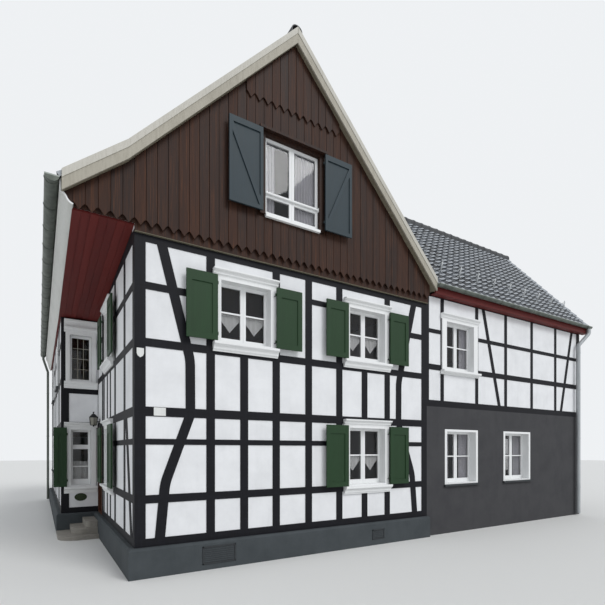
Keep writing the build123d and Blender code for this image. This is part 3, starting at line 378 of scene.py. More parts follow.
IRON = metal("black_iron", "#121315", "#1f2022", metallic=0.5, rough=0.4)
STEP = stone("step_stone", "#7d7972", "#9a968e")
SLATE_SILL = stone("slate_sill", "#26292c", "#34383b")
FLOOR_BOARDS = stained_boards("floor_boards", "#6a4c32", "#8c6a48", "#a3825c")
PLATE_WHITE = painted_wood("plate_enamel", "#dfe0de", "#b9bab6", gloss=0.25, wear=0.5, relief=0.0004)
PLATE_GREEN = painted_wood("plate_green", "#26331c", "#4b5638", gloss=0.4, wear=0.8, relief=0.0006)
LAMP_PANE = painted_wood("lamp_pane", "#8b8a80", "#6d6c64", gloss=0.15, wear=0.4, relief=0.0003)
TILE = roof_tile("pantile", "#222427", "#555a61", "#b4b9be", "#8d908f")
ROOF_BOARD = stained_boards("roof_boarding", "#7c7565", "#9b937f", "#aea691", along="Y")
GLASS = pane_glass()
LACE = cloth("lace", "#ffffff", holes=0.25)
SHEER = cloth("sheer_curtain", "#d8d6de")

node_finishes = {
    "attic_floors": FLOOR_BOARDS,
    "barge_boards": CREAM,
    "casements": WHITE,
    "door_frame": DOOR_BROWN,
    "door_toplight": GLASS,
    "downpipes": PIPE,
    "entrance_door": DOOR_BROWN,
    "fascias": FASCIA,
    "front_cladding": BROWN,
    "gable_casings": BROWN,
    "ground_floors": FLOOR_BOARDS,
    "gutters": GUTTER,
    "lantern": IRON,
    "plinth": PLINTH,
    "rear_cladding": BROWN,
    "ridge_caps": TILE,
    "shutter_pintles": IRON,
    "soffits": OXBLOOD,
    "steps": STEP,
    "upper_floors": FLOOR_BOARDS,
    "stone_sills": SLATE_SILL,
    "window_casings": WHITE,
    "window_glass": GLASS,
    "wing_fascias": OXBLOOD,
}


def node_finish(name):
    """The finish of a node, by its own name or by its kind."""
    if name in node_finishes:
        return node_finishes[name]
    if name.endswith("_frame"):
        return BEAM
    if name.endswith(("_infill", "_walls")):
        return LIME
    if name.startswith("wing_ground"):
        return WING_RENDER
    if "roof" in name:
        return ROOF_BOARD
    if name.startswith("gable_shutter"):
        return SLATE
    if "shutter" in name:
        return GREEN
    raise KeyError(name)


for name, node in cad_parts.items():
    node.data.materials.clear()
    node.data.materials.append(node_finish(name))


def around(near, far):
    """The four corners of each face between two rings."""
    turned = [*near[1:], near[0]], [*far[1:], far[0]]
    return zip(near, *turned, far)


class Solids:
    """Solids gathered into the mesh of one piece."""

    def __init__(self):
        self.mesh = bmesh.new()
        self.shade = self.mesh.faces.layers.float.new("tone")
        self.tone = 0.5

    def prism(self, face, outline, low, high, taper=1.0):
        """An outline in a face's x and y, run from low to high out of the face."""
        near = [self.mesh.verts.new(face @ Vector((x, y, low))) for x, y in outline]
        far = [self.mesh.verts.new(face @ Vector((x * taper, y * taper, high))) for x, y in outline]
        for corners in (near[::-1], far, *around(near, far)):
            self.mesh.faces.new(corners)[self.shade] = self.tone

    def block(self, face, x0, x1, z0, z1, low, high):
        """A box between these limits in a face's x and y and out of the face."""
        self.prism(face, [(x0, z0), (x1, z0), (x1, z1), (x0, z1)], low, high)

    def tube(self, points, radius, sides=10):
        """A round bar through points, with flat ends."""
        rings = []
        for i, point in enumerate(points):
            ahead = points[min(i + 1, len(points) - 1)] - points[max(i - 1, 0)]
            turn = ahead.to_track_quat("Z", "Y").to_matrix()
            rings.append([
                self.mesh.verts.new(point + turn @ Vector((cos(a) * radius, sin(a) * radius, 0)))
                for a in (2 * pi * side / sides for side in range(sides))
            ])
        self.skin(rings)
        self.mesh.faces.new(rings[0][::-1])
        self.mesh.faces.new(rings[-1])

    def skin(self, rings):
        """Faces from each ring of corners to the next."""
        for near, far in zip(rings, rings[1:]):
            for corners in around(near, far):
                self.mesh.faces.new(corners)

    def piece(self, name, finish, slot=None, body="house", replaces=(), bevel=0.0, smooth=False):
        """The finished piece."""
        bmesh.ops.recalc_face_normals(self.mesh, faces=self.mesh.faces)
        data = bpy.data.meshes.new(name)
        self.mesh.to_mesh(data)
        self.mesh.free()
        carried(name, data, finish, body, replaces, bevel, smooth)


def carried(name, data, finish, body="house", replaces=(), bevel=0.0, smooth=False):
    """A mesh as a piece that rides on a body and stands for the nodes that it replaces."""
    piece = bpy.data.objects.new(name, data)
    scene.collection.objects.link(piece)
    data.materials.append(finish)
    if smooth:
        data.shade_smooth()
    if bevel:
        arris = piece.modifiers.new("arris", "BEVEL")
        arris.width = bevel
        arris.segments = 2
        arris.limit_method = "ANGLE"
        arris.angle_limit = radians(35)
    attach(piece, body)
    if replaces:
        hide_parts(*replaces)
    return piece


# Roof tiles
TILE_WIDTH = 0.25
TILE_GAUGE = 0.3
TILE_NOSE = 0.026
TILE_LIP = 0.08
TILE_SECTION = [
    (0, 0.018), (0.05, 0.008), (0.2, 0.001), (0.45, 0), (0.62, 0.006),
    (0.76, 0.024), (0.88, 0.036), (0.96, 0.036), (1, 0.028),
]
TILE_LIFT = 0.012
TILE_SKIRT = -0.02
SKIRT_REACH = 0.06
UNEVEN_LIFT = 0.0016
UNEVEN_TAIL = 0.003
# The tone that takes the pale nose colour: a painted highlight on each tile's lip, and the pale verge
# column.
PALE_TONE = 2


def tiled_slope(top, along, down, length, reach, pale_edge=False):
    """Courses of pantiles from the ridge down, as one mesh that steps at every nose and side joint."""
    along = Vector(along).normalized()
    down = Vector(down).normalized()
    out = along.cross(down)
    if out.z < 0:
        out.negate()
    columns = round(length / TILE_WIDTH)
    rows = round(reach / TILE_GAUGE)
    width = length / columns
    gauge = reach / rows
    lift = chance.normal(0, UNEVEN_LIFT, (rows, columns))
    slip = chance.normal(0, UNEVEN_TAIL, (rows, columns))
    tone = chance.random((rows, columns))
    across = np.array([(column + share) * width for column in range(columns) for share, _ in TILE_SECTION])
    height = np.tile([h for _, h in TILE_SECTION], columns)
    columns_at = np.repeat(np.arange(columns), len(TILE_SECTION))
    lines = []
    for row in range(rows):
        own = lift[row][columns_at]
        tail = (row + 1) * gauge + slip[row][columns_at] * (row < rows - 1)
        head = np.full_like(across, row * gauge) if row == 0 else lines[-1][0]
        lines.append((head, height + own * 0.3 + TILE_LIFT))
        lines.append((tail - TILE_LIP, height + own * 0.7 + TILE_LIFT + TILE_NOSE * 0.7))
        lines.append((tail, height + own + TILE_LIFT + TILE_NOSE))
    end = lines[-1][0]
    lines.append((end, np.full_like(across, TILE_SKIRT)))
    lines.append((end - SKIRT_REACH, np.full_like(across, TILE_SKIRT)))
    fall = np.array([line[0] for line in lines])
    rise = np.array([line[1] for line in lines])
    side = np.vstack([across] * len(lines))
    fall = np.pad(fall, ((0, 0), (1, 1)), mode="edge")
    side = np.pad(side, ((0, 0), (1, 1)), mode="edge")
    rise = np.pad(rise, ((0, 0), (1, 1)), constant_values=TILE_SKIRT)
    points = (
        np.array(top)[None, None]
        + side[..., None] * np.array(along)
        + fall[..., None] * np.array(down)
        + rise[..., None] * np.array(out)
    )
    line_count, point_count = side.shape
    index = np.arange(line_count * point_count).reshape(line_count, point_count)
    quads = np.stack([index[:-1, :-1], index[:-1, 1:], index[1:, 1:], index[1:, :-1]], axis=-1)
    data = bpy.data.meshes.new("tiles")
    data.from_pydata(points.reshape(-1, 3).tolist(), [], quads.reshape(-1, 4).tolist())
    row_of = np.minimum(np.arange(line_count - 1) // 3, rows - 1)
    column_of = np.clip((np.arange(point_count - 1) - 1) // len(TILE_SECTION), 0, columns - 1)
    shades = tone[row_of][:, column_of]
    # Painted highlight: the last TILE_LIP of each tile takes the pale nose colour.
    shades[1 : 3 * rows : 3] = PALE_TONE
    # Painted shade: the riser under each nose takes tone 0, the dark end of the tile colours.
    shades[2 : 3 * rows : 3] = 0
    if pale_edge:
        shades[:, -len(TILE_SECTION) :] = PALE_TONE
    shades = shades.reshape(-1)
    data.attributes.new("tone", "FLOAT", "FACE").data.foreach_set("value", shades.astype(np.float32))
    if along.cross(down).z > 0:
        data.flip_normals()
    return data


def edited(data, edits):
    """A mesh after edits to its faces."""
    mesh = bmesh.new()
    mesh.from_mesh(data)
    for edit in edits:
        edit(mesh)
    mesh.to_mesh(data)
    mesh.free()
    return data


def cut_away(point, normal):
    """An edit that takes off what lies on a plane's outer side."""
    def edit(mesh):
        everything = [*mesh.verts, *mesh.edges, *mesh.faces]
        bmesh.ops.bisect_plane(mesh, geom=everything, plane_co=point, plane_no=normal, clear_outer=True)
    return edit


right_slope = (RIDGE[1] - RIGHT_EAVE[1]) / (RIGHT_EAVE[0] - RIDGE[0])
left_slope = (RIDGE[1] - BELLCAST[1]) / (RIDGE[0] - BELLCAST[0])
bellcast_slope = (BELLCAST[1] - LEFT_EAVE[1]) / (BELLCAST[0] - LEFT_EAVE[0])
wing_slope = (WING_RIDGE[1] - WING_EAVE[1]) / (WING_RIDGE[0] - WING_EAVE[0])
VERGE_GAP = 0.002
EAVE_LAP = 0.05
BELLCAST_LAP = 0.02
WING_COVER = 0.15
VALLEY_LIFT = 0.03
verge_out = VERGE - VERGE_GAP
roof_length = HOUSE_DEPTH + 2 * verge_out


def boarding_height(x):
    """The top of the main roof's boarding over a plan position."""
    if x > RIDGE[0]:
        return RIDGE[1] - right_slope * (x - RIDGE[0])
    if x > BELLCAST[0]:
        return RIDGE[1] - left_slope * (RIDGE[0] - x)
    return BELLCAST[1] - bellcast_slope * (BELLCAST[0] - x)


def wing_height(y):
    """The top of the wing roof's boarding over a plan position."""
    return WING_RIDGE[1] - wing_slope * abs(y - WING_RIDGE[0])


def main_tiles(name, start, end, lap, edits=()):
    """Tiles of a main roof slope between two points of its section."""
    run = Vector((end[0] - start[0], 0, end[1] - start[1]))
    data = tiled_slope(spot(start[0], -verge_out, start[1]), (0, 1, 0), run, roof_length, run.length + lap)
    carried(name, edited(data, edits), TILE)


def drop_under_wing(mesh):
    """Leaves out the tiles that the wing's roof covers."""
    covered = []
    for tile_face in mesh.faces:
        middle = tile_face.calc_center_median()
        if middle.z < wing_height(middle.y + MIDDLE_Y) - WING_COVER:
            covered.append(tile_face)
    bmesh.ops.delete(mesh, geom=covered, context="FACES")


main_tiles("main_tiles_left", RIDGE, BELLCAST, BELLCAST_LAP)
main_tiles("main_tiles_bellcast", BELLCAST, LEFT_EAVE, EAVE_LAP)
main_tiles("main_tiles_right", RIDGE, RIGHT_EAVE, EAVE_LAP, edits=(drop_under_wing,))

wing_far = HOUSE_WIDTH + WING_LENGTH + WING_VERGE - VERGE_GAP
under_main_roof = Vector((-right_slope, 0, -1)).normalized()
valley_cut = cut_away(spot(RIDGE[0], 0, RIDGE[1] + VALLEY_LIFT), under_main_roof)
for name, way in (("wing_tiles_front", -1), ("wing_tiles_back", 1)):
    run = Vector((0, way * (WING_RIDGE[0] - WING_EAVE[0]), WING_EAVE[1] - WING_RIDGE[1]))
    start = spot(RIDGE[0], *WING_RIDGE)
    reach = run.length + EAVE_LAP
    tiles = tiled_slope(start, (1, 0, 0), run, wing_far - RIDGE[0], reach, pale_edge=True)
    carried(name, edited(tiles, [valley_cut]), TILE)

# Ridge tiles, each a tapered half-round that laps the next
RIDGE_RADIUS = 0.13
RIDGE_GAUGE = 0.36
RIDGE_THICK = 0.018
RIDGE_FLATNESS = 0.92
RIDGE_SEAT = 0.03
RIDGE_TAPER = ((0, -0.008), (0.86, -0.002), (0.9, 0.008), (1.08, 0.008))
RIDGE_ARC = [pi * k / 14 for k in range(15)]
RIDGE_LIFT = 0.01
MAIN_SKIRT_SLOPE = 1.05  # between the slopes on its two sides


def ridge_run(solids, start, along, length, slope):
    """Half-round tiles in a row, with skirts down to the courses."""
    count = round(length / RIDGE_GAUGE)
    step = length / count
    side = Vector((along[1], -along[0], 0))
    for tile in range(count):
        rings = []
        for share, swell in RIDGE_TAPER:
            middle = start + Vector(along) * step * (tile + share)
            radius = RIDGE_RADIUS + swell
            foot = RIDGE_SEAT - slope * radius
            ring = []
            for reach in (radius, radius - RIDGE_THICK):
                arch = [(cos(a) * reach, sin(a) * reach * RIDGE_FLATNESS) for a in RIDGE_ARC]
                line = [(reach, foot), *arch, (-reach, foot)]
                ring.append([solids.mesh.verts.new(middle + side * x + Vector((0, 0, z))) for x, z in line])
            rings.append(ring[0] + ring[1][::-1])
        solids.skin(rings)
        half = len(rings[0]) // 2
        for ring in (rings[0], rings[-1]):
            for i in range(half - 1):
                solids.mesh.faces.new((ring[i], ring[i + 1], ring[-i - 2], ring[-i - 1]))


wing_ridge_start = RIDGE[0] + (RIDGE[1] - WING_RIDGE[1]) / right_slope
main_ridge = spot(RIDGE[0], -verge_out, RIDGE[1] + RIDGE_LIFT)
wing_ridge = spot(wing_ridge_start, WING_RIDGE[0], WING_RIDGE[1] + RIDGE_LIFT)
ridge_tiles = Solids()
ridge_run(ridge_tiles, main_ridge, (0, 1, 0), roof_length, MAIN_SKIRT_SLOPE)
ridge_run(ridge_tiles, wing_ridge, (1, 0, 0), wing_far - wing_ridge_start, wing_slope)
ridge_tiles.piece("ridge_tiles", TILE, "roof_tile", replaces=("ridge_caps",))

# Gable boards with pointed lower ends, over plain under-boards
BOARD_PITCH = 0.18
BOARD_JOINT = 0.007
BOARD_THICK = 0.026
BOARD_LEVEL = 0.005
TOOTH = 0.1
TOOTH_ROOM = 0.02
TOOTH_LINE = [(0, 1), (0.07, 0.95), (0.2, 0.72), (0.34, 0.36), (0.44, 0.1), (0.5, 0)]


def top_edge(x0, x1, top_at, breaks):
    """The sloped top of a board, from its right edge to its left."""
    stops = [x1, *(x for x in breaks if x0 < x < x1), x0]
    return [(x, top_at(x)) for x in stops]


def dog_tooth(x0, x1, tip):
    """The pointed lower end of a board, with hollowed sides, from left to right."""
    width = x1 - x0
    line = TOOTH_LINE + [(1 - share, rise) for share, rise in TOOTH_LINE[-2::-1]]
    return [(x0 + share * width, tip + rise * TOOTH) for share, rise in line]


def boards(solids, face, x0, x1, tip, top_at, low, breaks, window=None):
    """Toothed boards between two sides of a gable, parted round a window."""
    count = round((x1 - x0) / BOARD_PITCH)
    pitch = (x1 - x0) / count
    for number in range(count):
        left = x0 + number * pitch + BOARD_JOINT / 2
        right = left + pitch - BOARD_JOINT
        top = min(top_at(left), top_at(right))
        if top < tip + TOOTH + TOOTH_ROOM:
            continue
        near = low + chance.uniform(-BOARD_LEVEL, BOARD_LEVEL)
        far = near + BOARD_THICK
        solids.tone = chance.random()
        foot = dog_tooth(left, right, tip)
        head = top_edge(left, right, top_at, breaks)
        if window and left < window[1] and right > window[0]:
            solids.prism(face, foot + [(right, window[2]), (left, window[2])], near, far)
            if top > window[3] + TOOTH_ROOM:
                solids.prism(face, [(left, window[3]), (right, window[3])] + head, near, far)
        else:
            solids.prism(face, foot + head, near, far)


def under_roof(height_at):
    """The height of a roof's underside over a plan position, less a hair."""
    return lambda x: height_at(x) - ROOF_RISE - 0.004


def backing(solids, face, x0, x1, bottom, top_at, low, high, breaks, window=None):
    """The plain boarding behind, in strips beside, under and over the window."""
    if window is None:
        solids.prism(face, [(x0, bottom), (x1, bottom)] + top_edge(x0, x1, top_at, breaks), low, high)
        return
    left, right, sill, head = window
    solids.prism(face, [(x0, bottom), (left, bottom)] + top_edge(x0, left, top_at, breaks), low, high)
    solids.prism(face, [(right, bottom), (x1, bottom)] + top_edge(right, x1, top_at, breaks), low, high)
    solids.block(face, left, right, bottom, sill, low, high)
    solids.prism(face, [(left, head), (right, head)] + top_edge(left, right, top_at, breaks), low, high)


# The cove under the left eave: an ogee from the fascia's foot to the soffit's edge, lower at the back
COVE_HEAD = Vector((-1.088, 6.02))
COVE_FOOT = (-0.914, 5.86)
COVE_REAR_Z = 5.556
COVE_BULGE = 0.014
COVE_START = 0.12
COVE_THICK = 0.02
COVE_STEPS = 12


def cove_line(start, end, inset, foot_z=COVE_FOOT[1]):
    """Points down the ogee between two shares of its length, set in from its outer side."""
    down = Vector((COVE_FOOT[0], foot_z)) - COVE_HEAD
    inward = Vector((-down.y, down.x)).normalized()
    line = []
    for step in range(COVE_STEPS + 1):
        share = start + (end - start) * step / COVE_STEPS
        half = share * 2 % 1
        way = 1 if share < 0.5 else -1
        bend = way * COVE_BULGE * 4 * half * (1 - half)
        line.append(tuple(COVE_HEAD + down * share + inward * (bend + inset)))
    return line


cove = Solids()
rings = []
cove_ends = ((-COVE_START, COVE_FOOT[1]), (RECESS_DEPTH, COVE_REAR_Z), (HOUSE_DEPTH + VERGE, COVE_REAR_Z))
for y, foot_z in cove_ends:
    outline = cove_line(0, 1, 0, foot_z) + cove_line(0, 1, COVE_THICK, foot_z)[::-1]
    rings.append([cove.mesh.verts.new(spot(x, y, z)) for x, z in outline])
cove.skin(rings)
for ring in (rings[0], rings[-1][::-1]):
    cove.mesh.faces.new(ring)
cove.piece("left_cove", FASCIA, "pale_board")

# Boards on the front gable, with a plain frieze below and a second toothed row above the window
UNDER_BOARD = CLADDING - BOARD_THICK - BOARD_LEVEL
FRIEZE = 0.04
FRIEZE_Z = 5.75
RECESS_FRIEZE_Z = 5.88
UNDER_BOARD_Z = 5.94
FRONT_TIP = 5.83
SKIRT_TIP = 8.75
BEAD_THICK = 0.01
BEAD_OUT = 0.006
CUT_SHARES = (0.35, 0.98)
CUT_INSET = 0.008
gable_hole = (2.315, 3.625, 6.64, 8.19)  # left, right, bottom and top of the opening
gable_edge = (2.235, 3.705, 6.59, 8.26)  # and of the casing round it
recess_x = COVE_FOOT[0]
main_top = under_roof(boarding_height)
main_breaks = (RIDGE[0], BELLCAST[0])
front_boards = Solids()
backing(front_boards, FRONT, 0, HOUSE_WIDTH, FRIEZE_Z, main_top, 0, FRIEZE, main_breaks, gable_hole)
backing(front_boards, FRONT, recess_x, 0, RECESS_FRIEZE_Z, main_top, 0, FRIEZE, main_breaks)
backing(front_boards, FRONT, recess_x, HOUSE_WIDTH, UNDER_BOARD_Z, main_top, FRIEZE, UNDER_BOARD,
        main_breaks, gable_hole)
boards(front_boards, FRONT, recess_x, HOUSE_WIDTH, FRONT_TIP, main_top, UNDER_BOARD,
       main_breaks, gable_edge)
skirt_fall = RIDGE[1] - SKIRT_TIP - TOOTH - ROOF_RISE
skirt_x0 = RIDGE[0] - skirt_fall / left_slope
skirt_x1 = RIDGE[0] + skirt_fall / right_slope
boards(front_boards, FRONT, skirt_x0, skirt_x1, SKIRT_TIP, main_top, CLADDING, main_breaks)
cut = cove_line(*CUT_SHARES, CUT_INSET)
cut_top = [(x, main_top(x)) for x in (recess_x, cut[0][0])]
front_boards.prism(FRONT, cut + cut_top, 0, CLADDING)
front_boards.piece("front_boards", BROWN, "brown_board", replaces=("front_cladding",), bevel=0.0025)

bead = Solids()
bead.block(FRONT, 0, HOUSE_WIDTH, FRIEZE_Z - BEAD_THICK, FRIEZE_Z, 0, FRIEZE + BEAD_OUT)
bead.piece("frieze_bead", BEAD, "brown_board", bevel=0.001)

# White trim on the end of the cove and up the fascia
TRIM_WIDTH = 0.024
TRIM_END = COVE_START + 0.012
trim = Solids()
trim.prism(FRONT, cove_line(0, 1, 0) + cove_line(0, 1, TRIM_WIDTH)[::-1], COVE_START, TRIM_END)
trim.block(FRONT, COVE_HEAD.x, COVE_HEAD.x + TRIM_WIDTH, COVE_HEAD.y, LEFT_EAVE[1], COVE_START, TRIM_END)
trim.piece("cove_bead", WHITE, "pale_board", bevel=0.002)

# The same boards on the back gable and on the wing's end, each with its under-boards and tips
BACK_SHIFT = 0.04


def from_behind(hole):
    """An opening of the front gable as it stands in the back gable."""
    return (HOUSE_WIDTH - hole[1] - BACK_SHIFT, HOUSE_WIDTH - hole[0] - BACK_SHIFT, *hole[2:])


rear_boards = Solids()
behind_top = under_roof(lambda x: boarding_height(HOUSE_WIDTH - x))
behind_breaks = (HOUSE_WIDTH - BELLCAST[0], HOUSE_WIDTH - RIDGE[0])
wing_top = under_roof(wing_height)
for face, width, under_z, tip, top_at, breaks, hole, edge in (
    (BACK, HOUSE_WIDTH + REAR_REACH, 5.8, 5.78, behind_top, behind_breaks,
     from_behind(gable_hole), from_behind(gable_edge)),
    (WING_END, WING_DEPTH, 6.04, 5.95, wing_top, (WING_RIDGE[0],), None, None),
):
    backing(rear_boards, face, 0, width, under_z, top_at, 0, UNDER_BOARD, breaks, hole)
    boards(rear_boards, face, 0, width, tip, top_at, UNDER_BOARD, breaks, edge)
rear_boards.piece("rear_boards", BROWN, "brown_board", replaces=("rear_cladding",), bevel=0.0025)

# A paler capping along the top of each barge board
CAP_TOP = 0.062
CAP_DEPTH = 0.13
CAP_THICK = 0.011
CAP_GAP = 0.004


def verge_cap(solids, face, line):
    """A strip that follows the top of a roof slope, outside its barge board."""
    upper = [(x, z + CAP_TOP) for x, z in line]
    solids.prism(face, upper + [(x, z - CAP_DEPTH) for x, z in upper[::-1]], 0, CAP_THICK)


def off_ridge(line):
    """The line from just off the ridge, down its slope."""
    (x0, z0), (x1, z1) = line[:2]
    gap = CAP_GAP if x1 > x0 else -CAP_GAP
    return [(x0 + gap, z0 + gap * (z1 - z0) / (x1 - x0)), *line[1:]]


left_line = off_ridge([RIDGE, BELLCAST, LEFT_EAVE])
right_line = off_ridge([RIDGE, RIGHT_EAVE])
wing_near = off_ridge([WING_RIDGE, WING_EAVE])
wing_rear = off_ridge([WING_RIDGE, (WING_DEPTH - WING_EAVE[0], WING_EAVE[1])])
front_verge = facing(0, -VERGE - BARGE_THICK, 0)
back_verge = facing(HOUSE_WIDTH, HOUSE_DEPTH + VERGE + BARGE_THICK, 180)
wing_verge = facing(HOUSE_WIDTH + WING_LENGTH + WING_VERGE + BARGE_THICK, 0, 90)
caps = Solids()
for line in (left_line, right_line):
    verge_cap(caps, front_verge, line)
    verge_cap(caps, back_verge, [(HOUSE_WIDTH - x, z) for x, z in line])
for line in (wing_near, wing_rear):
    verge_cap(caps, wing_verge, line)
caps.piece("verge_caps", VERGE_CREAM, "barge_board", bevel=0.002)

# Lining boards below the recess soffit
SOFFIT_GAP = 0.005
SOFFIT_BOARD = 0.01
SOFFIT_END = 0.01
SOFFIT_COUNT = 7


def soffit_boards(solids, start, end, width, count):
    """Boards side by side from one point to another behind it, below a soffit."""
    run = end - start
    along = run.normalized()
    across = Vector((1, 0, 0))
    turn = Matrix((across, along, across.cross(along))).transposed()
    face = Matrix.Translation(start) @ turn.to_4x4()
    pitch = width / count
    for number in range(count):
        solids.tone = chance.random()
        left = number * pitch + SOFFIT_GAP / 2
        solids.block(face, left, left + pitch - SOFFIT_GAP, 0, run.length, -SOFFIT_BOARD, 0)


eaves = Solids()
soffit_front = spot(recess_x, SOFFIT_END, COVE_FOOT[1])
soffit_rear = spot(recess_x, RECESS_DEPTH - SOFFIT_END, COVE_REAR_Z)
soffit_boards(eaves, soffit_front, soffit_rear, -recess_x, SOFFIT_COUNT)
eaves.piece("recess_soffit_boards", OXBLOOD, "oxblood_board", bevel=0.002)

# Lace in the windows with shutters: a pointed pennant in each leaf below its bar
LACE_DROP = 0.34
LACE_SHOULDER = 0.3
LACE_ACROSS = 28
LACE_DOWN = 18
LACE_FOLD = 0.006
LACE_GAP = 0.012
LEAF_WIDTH = 0.5075
LEAF_SIDE = 0.052
CURTAIN_FOLD = 0.012
CURTAIN_DOWN = 6
PLEAT_STEPS = 8


def hung(name, columns, finish, **cut):
    """A sheet through columns of points, each from one edge of the cloth to the other."""
    count = len(columns[0])
    quads = [
        (i * count + j, (i + 1) * count + j, (i + 1) * count + j + 1, i * count + j + 1)
        for i in range(len(columns) - 1) for j in range(count - 1)
    ]
    data = bpy.data.meshes.new(name)
    data.from_pydata([tuple(point) for column in columns for point in column], [], quads)
    sheet = carried(name, data, finish, smooth=True)


def pennant(name, face, x0, x1, top, out):
    """A gathered lace sheet whose lower edge runs to a point in its middle."""
    width = x1 - x0
    columns = []
    area = 0.0
    for i in range(LACE_ACROSS + 1):
        share = i / LACE_ACROSS
        length = LACE_DROP * (LACE_SHOULDER + (1 - LACE_SHOULDER) * (1 - abs(2 * share - 1)))
        area += length * width / (LACE_ACROSS + 1)
        column = []
        for j in range(LACE_DOWN + 1):
            fold = LACE_FOLD * sin(share * 9 * pi) * (1 - 0.4 * j / LACE_DOWN)
            column.append(face @ Vector((x0 + share * width, top - length * j / LACE_DOWN, out + fold)))
        columns.append(column)
    hung(name, columns, LACE, flat=(width, LACE_DROP), area=min(area, width * LACE_DROP))


def curtain(name, face, x0, x1, z0, z1, out, finish, pleats):
    """A pleated sheet between two sides, from its hem up to its rail."""
    shares = [i / (pleats * PLEAT_STEPS) for i in range(pleats * PLEAT_STEPS + 1)]
    line = [(x0 + (x1 - x0) * s, out + CURTAIN_FOLD * sin(2 * pi * pleats * s)) for s in shares]
    heights = [z0 + (z1 - z0) * j / CURTAIN_DOWN for j in range(CURTAIN_DOWN + 1)]
    width = sum(hypot(b[0] - a[0], b[1] - a[1]) for a, b in zip(line, line[1:]))
    columns = [[face @ Vector((x, z, o)) for z in heights] for x, o in line]
    hung(name, columns, finish, flat=(round(width, 3), round(z1 - z0, 3)))


# Each shuttered window's wall, middle, bar and depth
glazing = {
    "front_upper_left": (FRONT, 2.007, 4.71, -0.207),
    "front_upper_right": (FRONT, 4.955, 4.71, -0.207),
    "front_ground": (FRONT, 4.955, 2.015, -0.207),
    "left_upper": (LEFT, 2.11, 4.71, -0.197),
    "left_ground": (LEFT, 2.11, 2.015, -0.197),
}
for label, (face, middle, bar, out) in glazing.items():
    for side, left in (("left", middle - LEAF_WIDTH), ("right", middle)):
        x0 = left + LEAF_SIDE
        x1 = left + LEAF_WIDTH - LEAF_SIDE
        pennant(f"lace_{label}_{side}", face, x0, x1, bar - LACE_GAP, out)

# Curtains: wall, left, right, hem, rail, depth, cloth and pleats
curtains = {
    "gable_curtain_left": (FRONT, 2.37, 2.62, 6.70, 8.12, -0.03, SHEER, 4),
    "gable_curtain_right": (FRONT, 3.08, 3.56, 6.70, 8.12, -0.03, SHEER, 7),
    "wing_upper_curtain_left": (WING_FRONT, 0.71, 1.0, 4.23, 5.39, -0.225, SHEER, 5),
    "wing_upper_curtain_right": (WING_FRONT, 1.46, 1.75, 4.23, 5.39, -0.225, SHEER, 5),
    "wing_ground_curtain_near_left": (WING_FRONT, 0.74, 1.1, 1.31, 2.58, -0.275, SHEER, 6),
    "wing_ground_curtain_near_right": (WING_FRONT, 1.5, 1.86, 1.31, 2.58, -0.275, SHEER, 6),
    "wing_ground_curtain_far_left": (WING_FRONT, 3.175, 3.535, 1.31, 2.58, -0.275, SHEER, 6),
    "wing_ground_curtain_far_right": (WING_FRONT, 3.935, 4.295, 1.31, 2.58, -0.275, SHEER, 6),
    "return_ground_lace": (RETURN, 0.235, 0.675, 1.33, 1.83, -0.225, LACE, 5),
}
for label, place in curtains.items():
    curtain(label, *place)

# Lattice of the upper window in the return wall
LATTICE_X = (0.25, 0.66)
LATTICE_Z = (3.99, 5.075)
LATTICE_OUT = (-0.146, -0.134)
LATTICE_HALF = 0.006
LATTICE_ROWS = 4
lattice = Solids()
for x in (0.387, 0.523):
    lattice.block(RETURN, x - LATTICE_HALF, x + LATTICE_HALF, *LATTICE_Z, *LATTICE_OUT)
for row in range(1, LATTICE_ROWS):
    z = LATTICE_Z[0] + (LATTICE_Z[1] - LATTICE_Z[0]) * row / LATTICE_ROWS
    lattice.block(RETURN, *LATTICE_X, z - LATTICE_HALF, z + LATTICE_HALF, *LATTICE_OUT)
lattice.piece("return_window_lattice", CREAM, "white_joinery", bevel=0.001)

# Snow hooks on the wing's front slope: a strap up the slope, a cross bar, an upright stem and its brace
HOOK_COUNT = 9
HOOK_X = 7.74
HOOK_Y = 0.38
HOOK_PITCH = 0.745
HOOK_LIFT = 0.035
HOOK_BAR = 0.014
HOOK_STEM = 0.017
HOOK_BRACE = 0.01
STRAP_BELOW = 0.06
STRAP_ABOVE = 0.3
STEM_CURL = 0.03
BRACE_SHARE = 0.9  # of the stem's height
BRACE_FOOT = 0.26
up_slope = Vector((0, 1, wing_slope)).normalized()
off_slope = Vector((0, -wing_slope, 1)).normalized()
stem = Vector((0, -0.35, 1)).normalized() * 0.25
half_bar = Vector((0.06, 0, 0))
hooks = Solids()
for number in range(HOOK_COUNT):
    foot = spot(HOOK_X + number * HOOK_PITCH, HOOK_Y, wing_height(HOOK_Y)) + off_slope * HOOK_LIFT
    hooks.tube([foot - up_slope * STRAP_BELOW, foot + up_slope * STRAP_ABOVE], HOOK_BAR, 8)
    hooks.tube([foot - half_bar, foot + half_bar], HOOK_BAR, 8)
    hooks.tube([foot, foot + stem, foot + stem + up_slope * STEM_CURL], HOOK_STEM, 8)
    hooks.tube([foot + stem * BRACE_SHARE, foot + up_slope * BRACE_FOOT], HOOK_BRACE, 8)
hooks.piece("snow_hooks", GALVANISED, "zinc", smooth=True)

# Gutter brackets and pipe clamps
BRACKET_BAR = 0.006
CLAMP_HEIGHT = 0.03
CLAMP_THICK = 0.006
# The front and the left gutter: bracket count, first one's place, step in plan, way out and radius
bracket_rows = (
    (10, (7.15, -0.25, 6.193), (0.76, 0), Vector((0, -1, 0)), 0.079),
    (18, (-1.185, -0.1, 6.2), (0, 0.82), Vector((-1, 0, 0)), 0.104),
)
brackets = Solids()


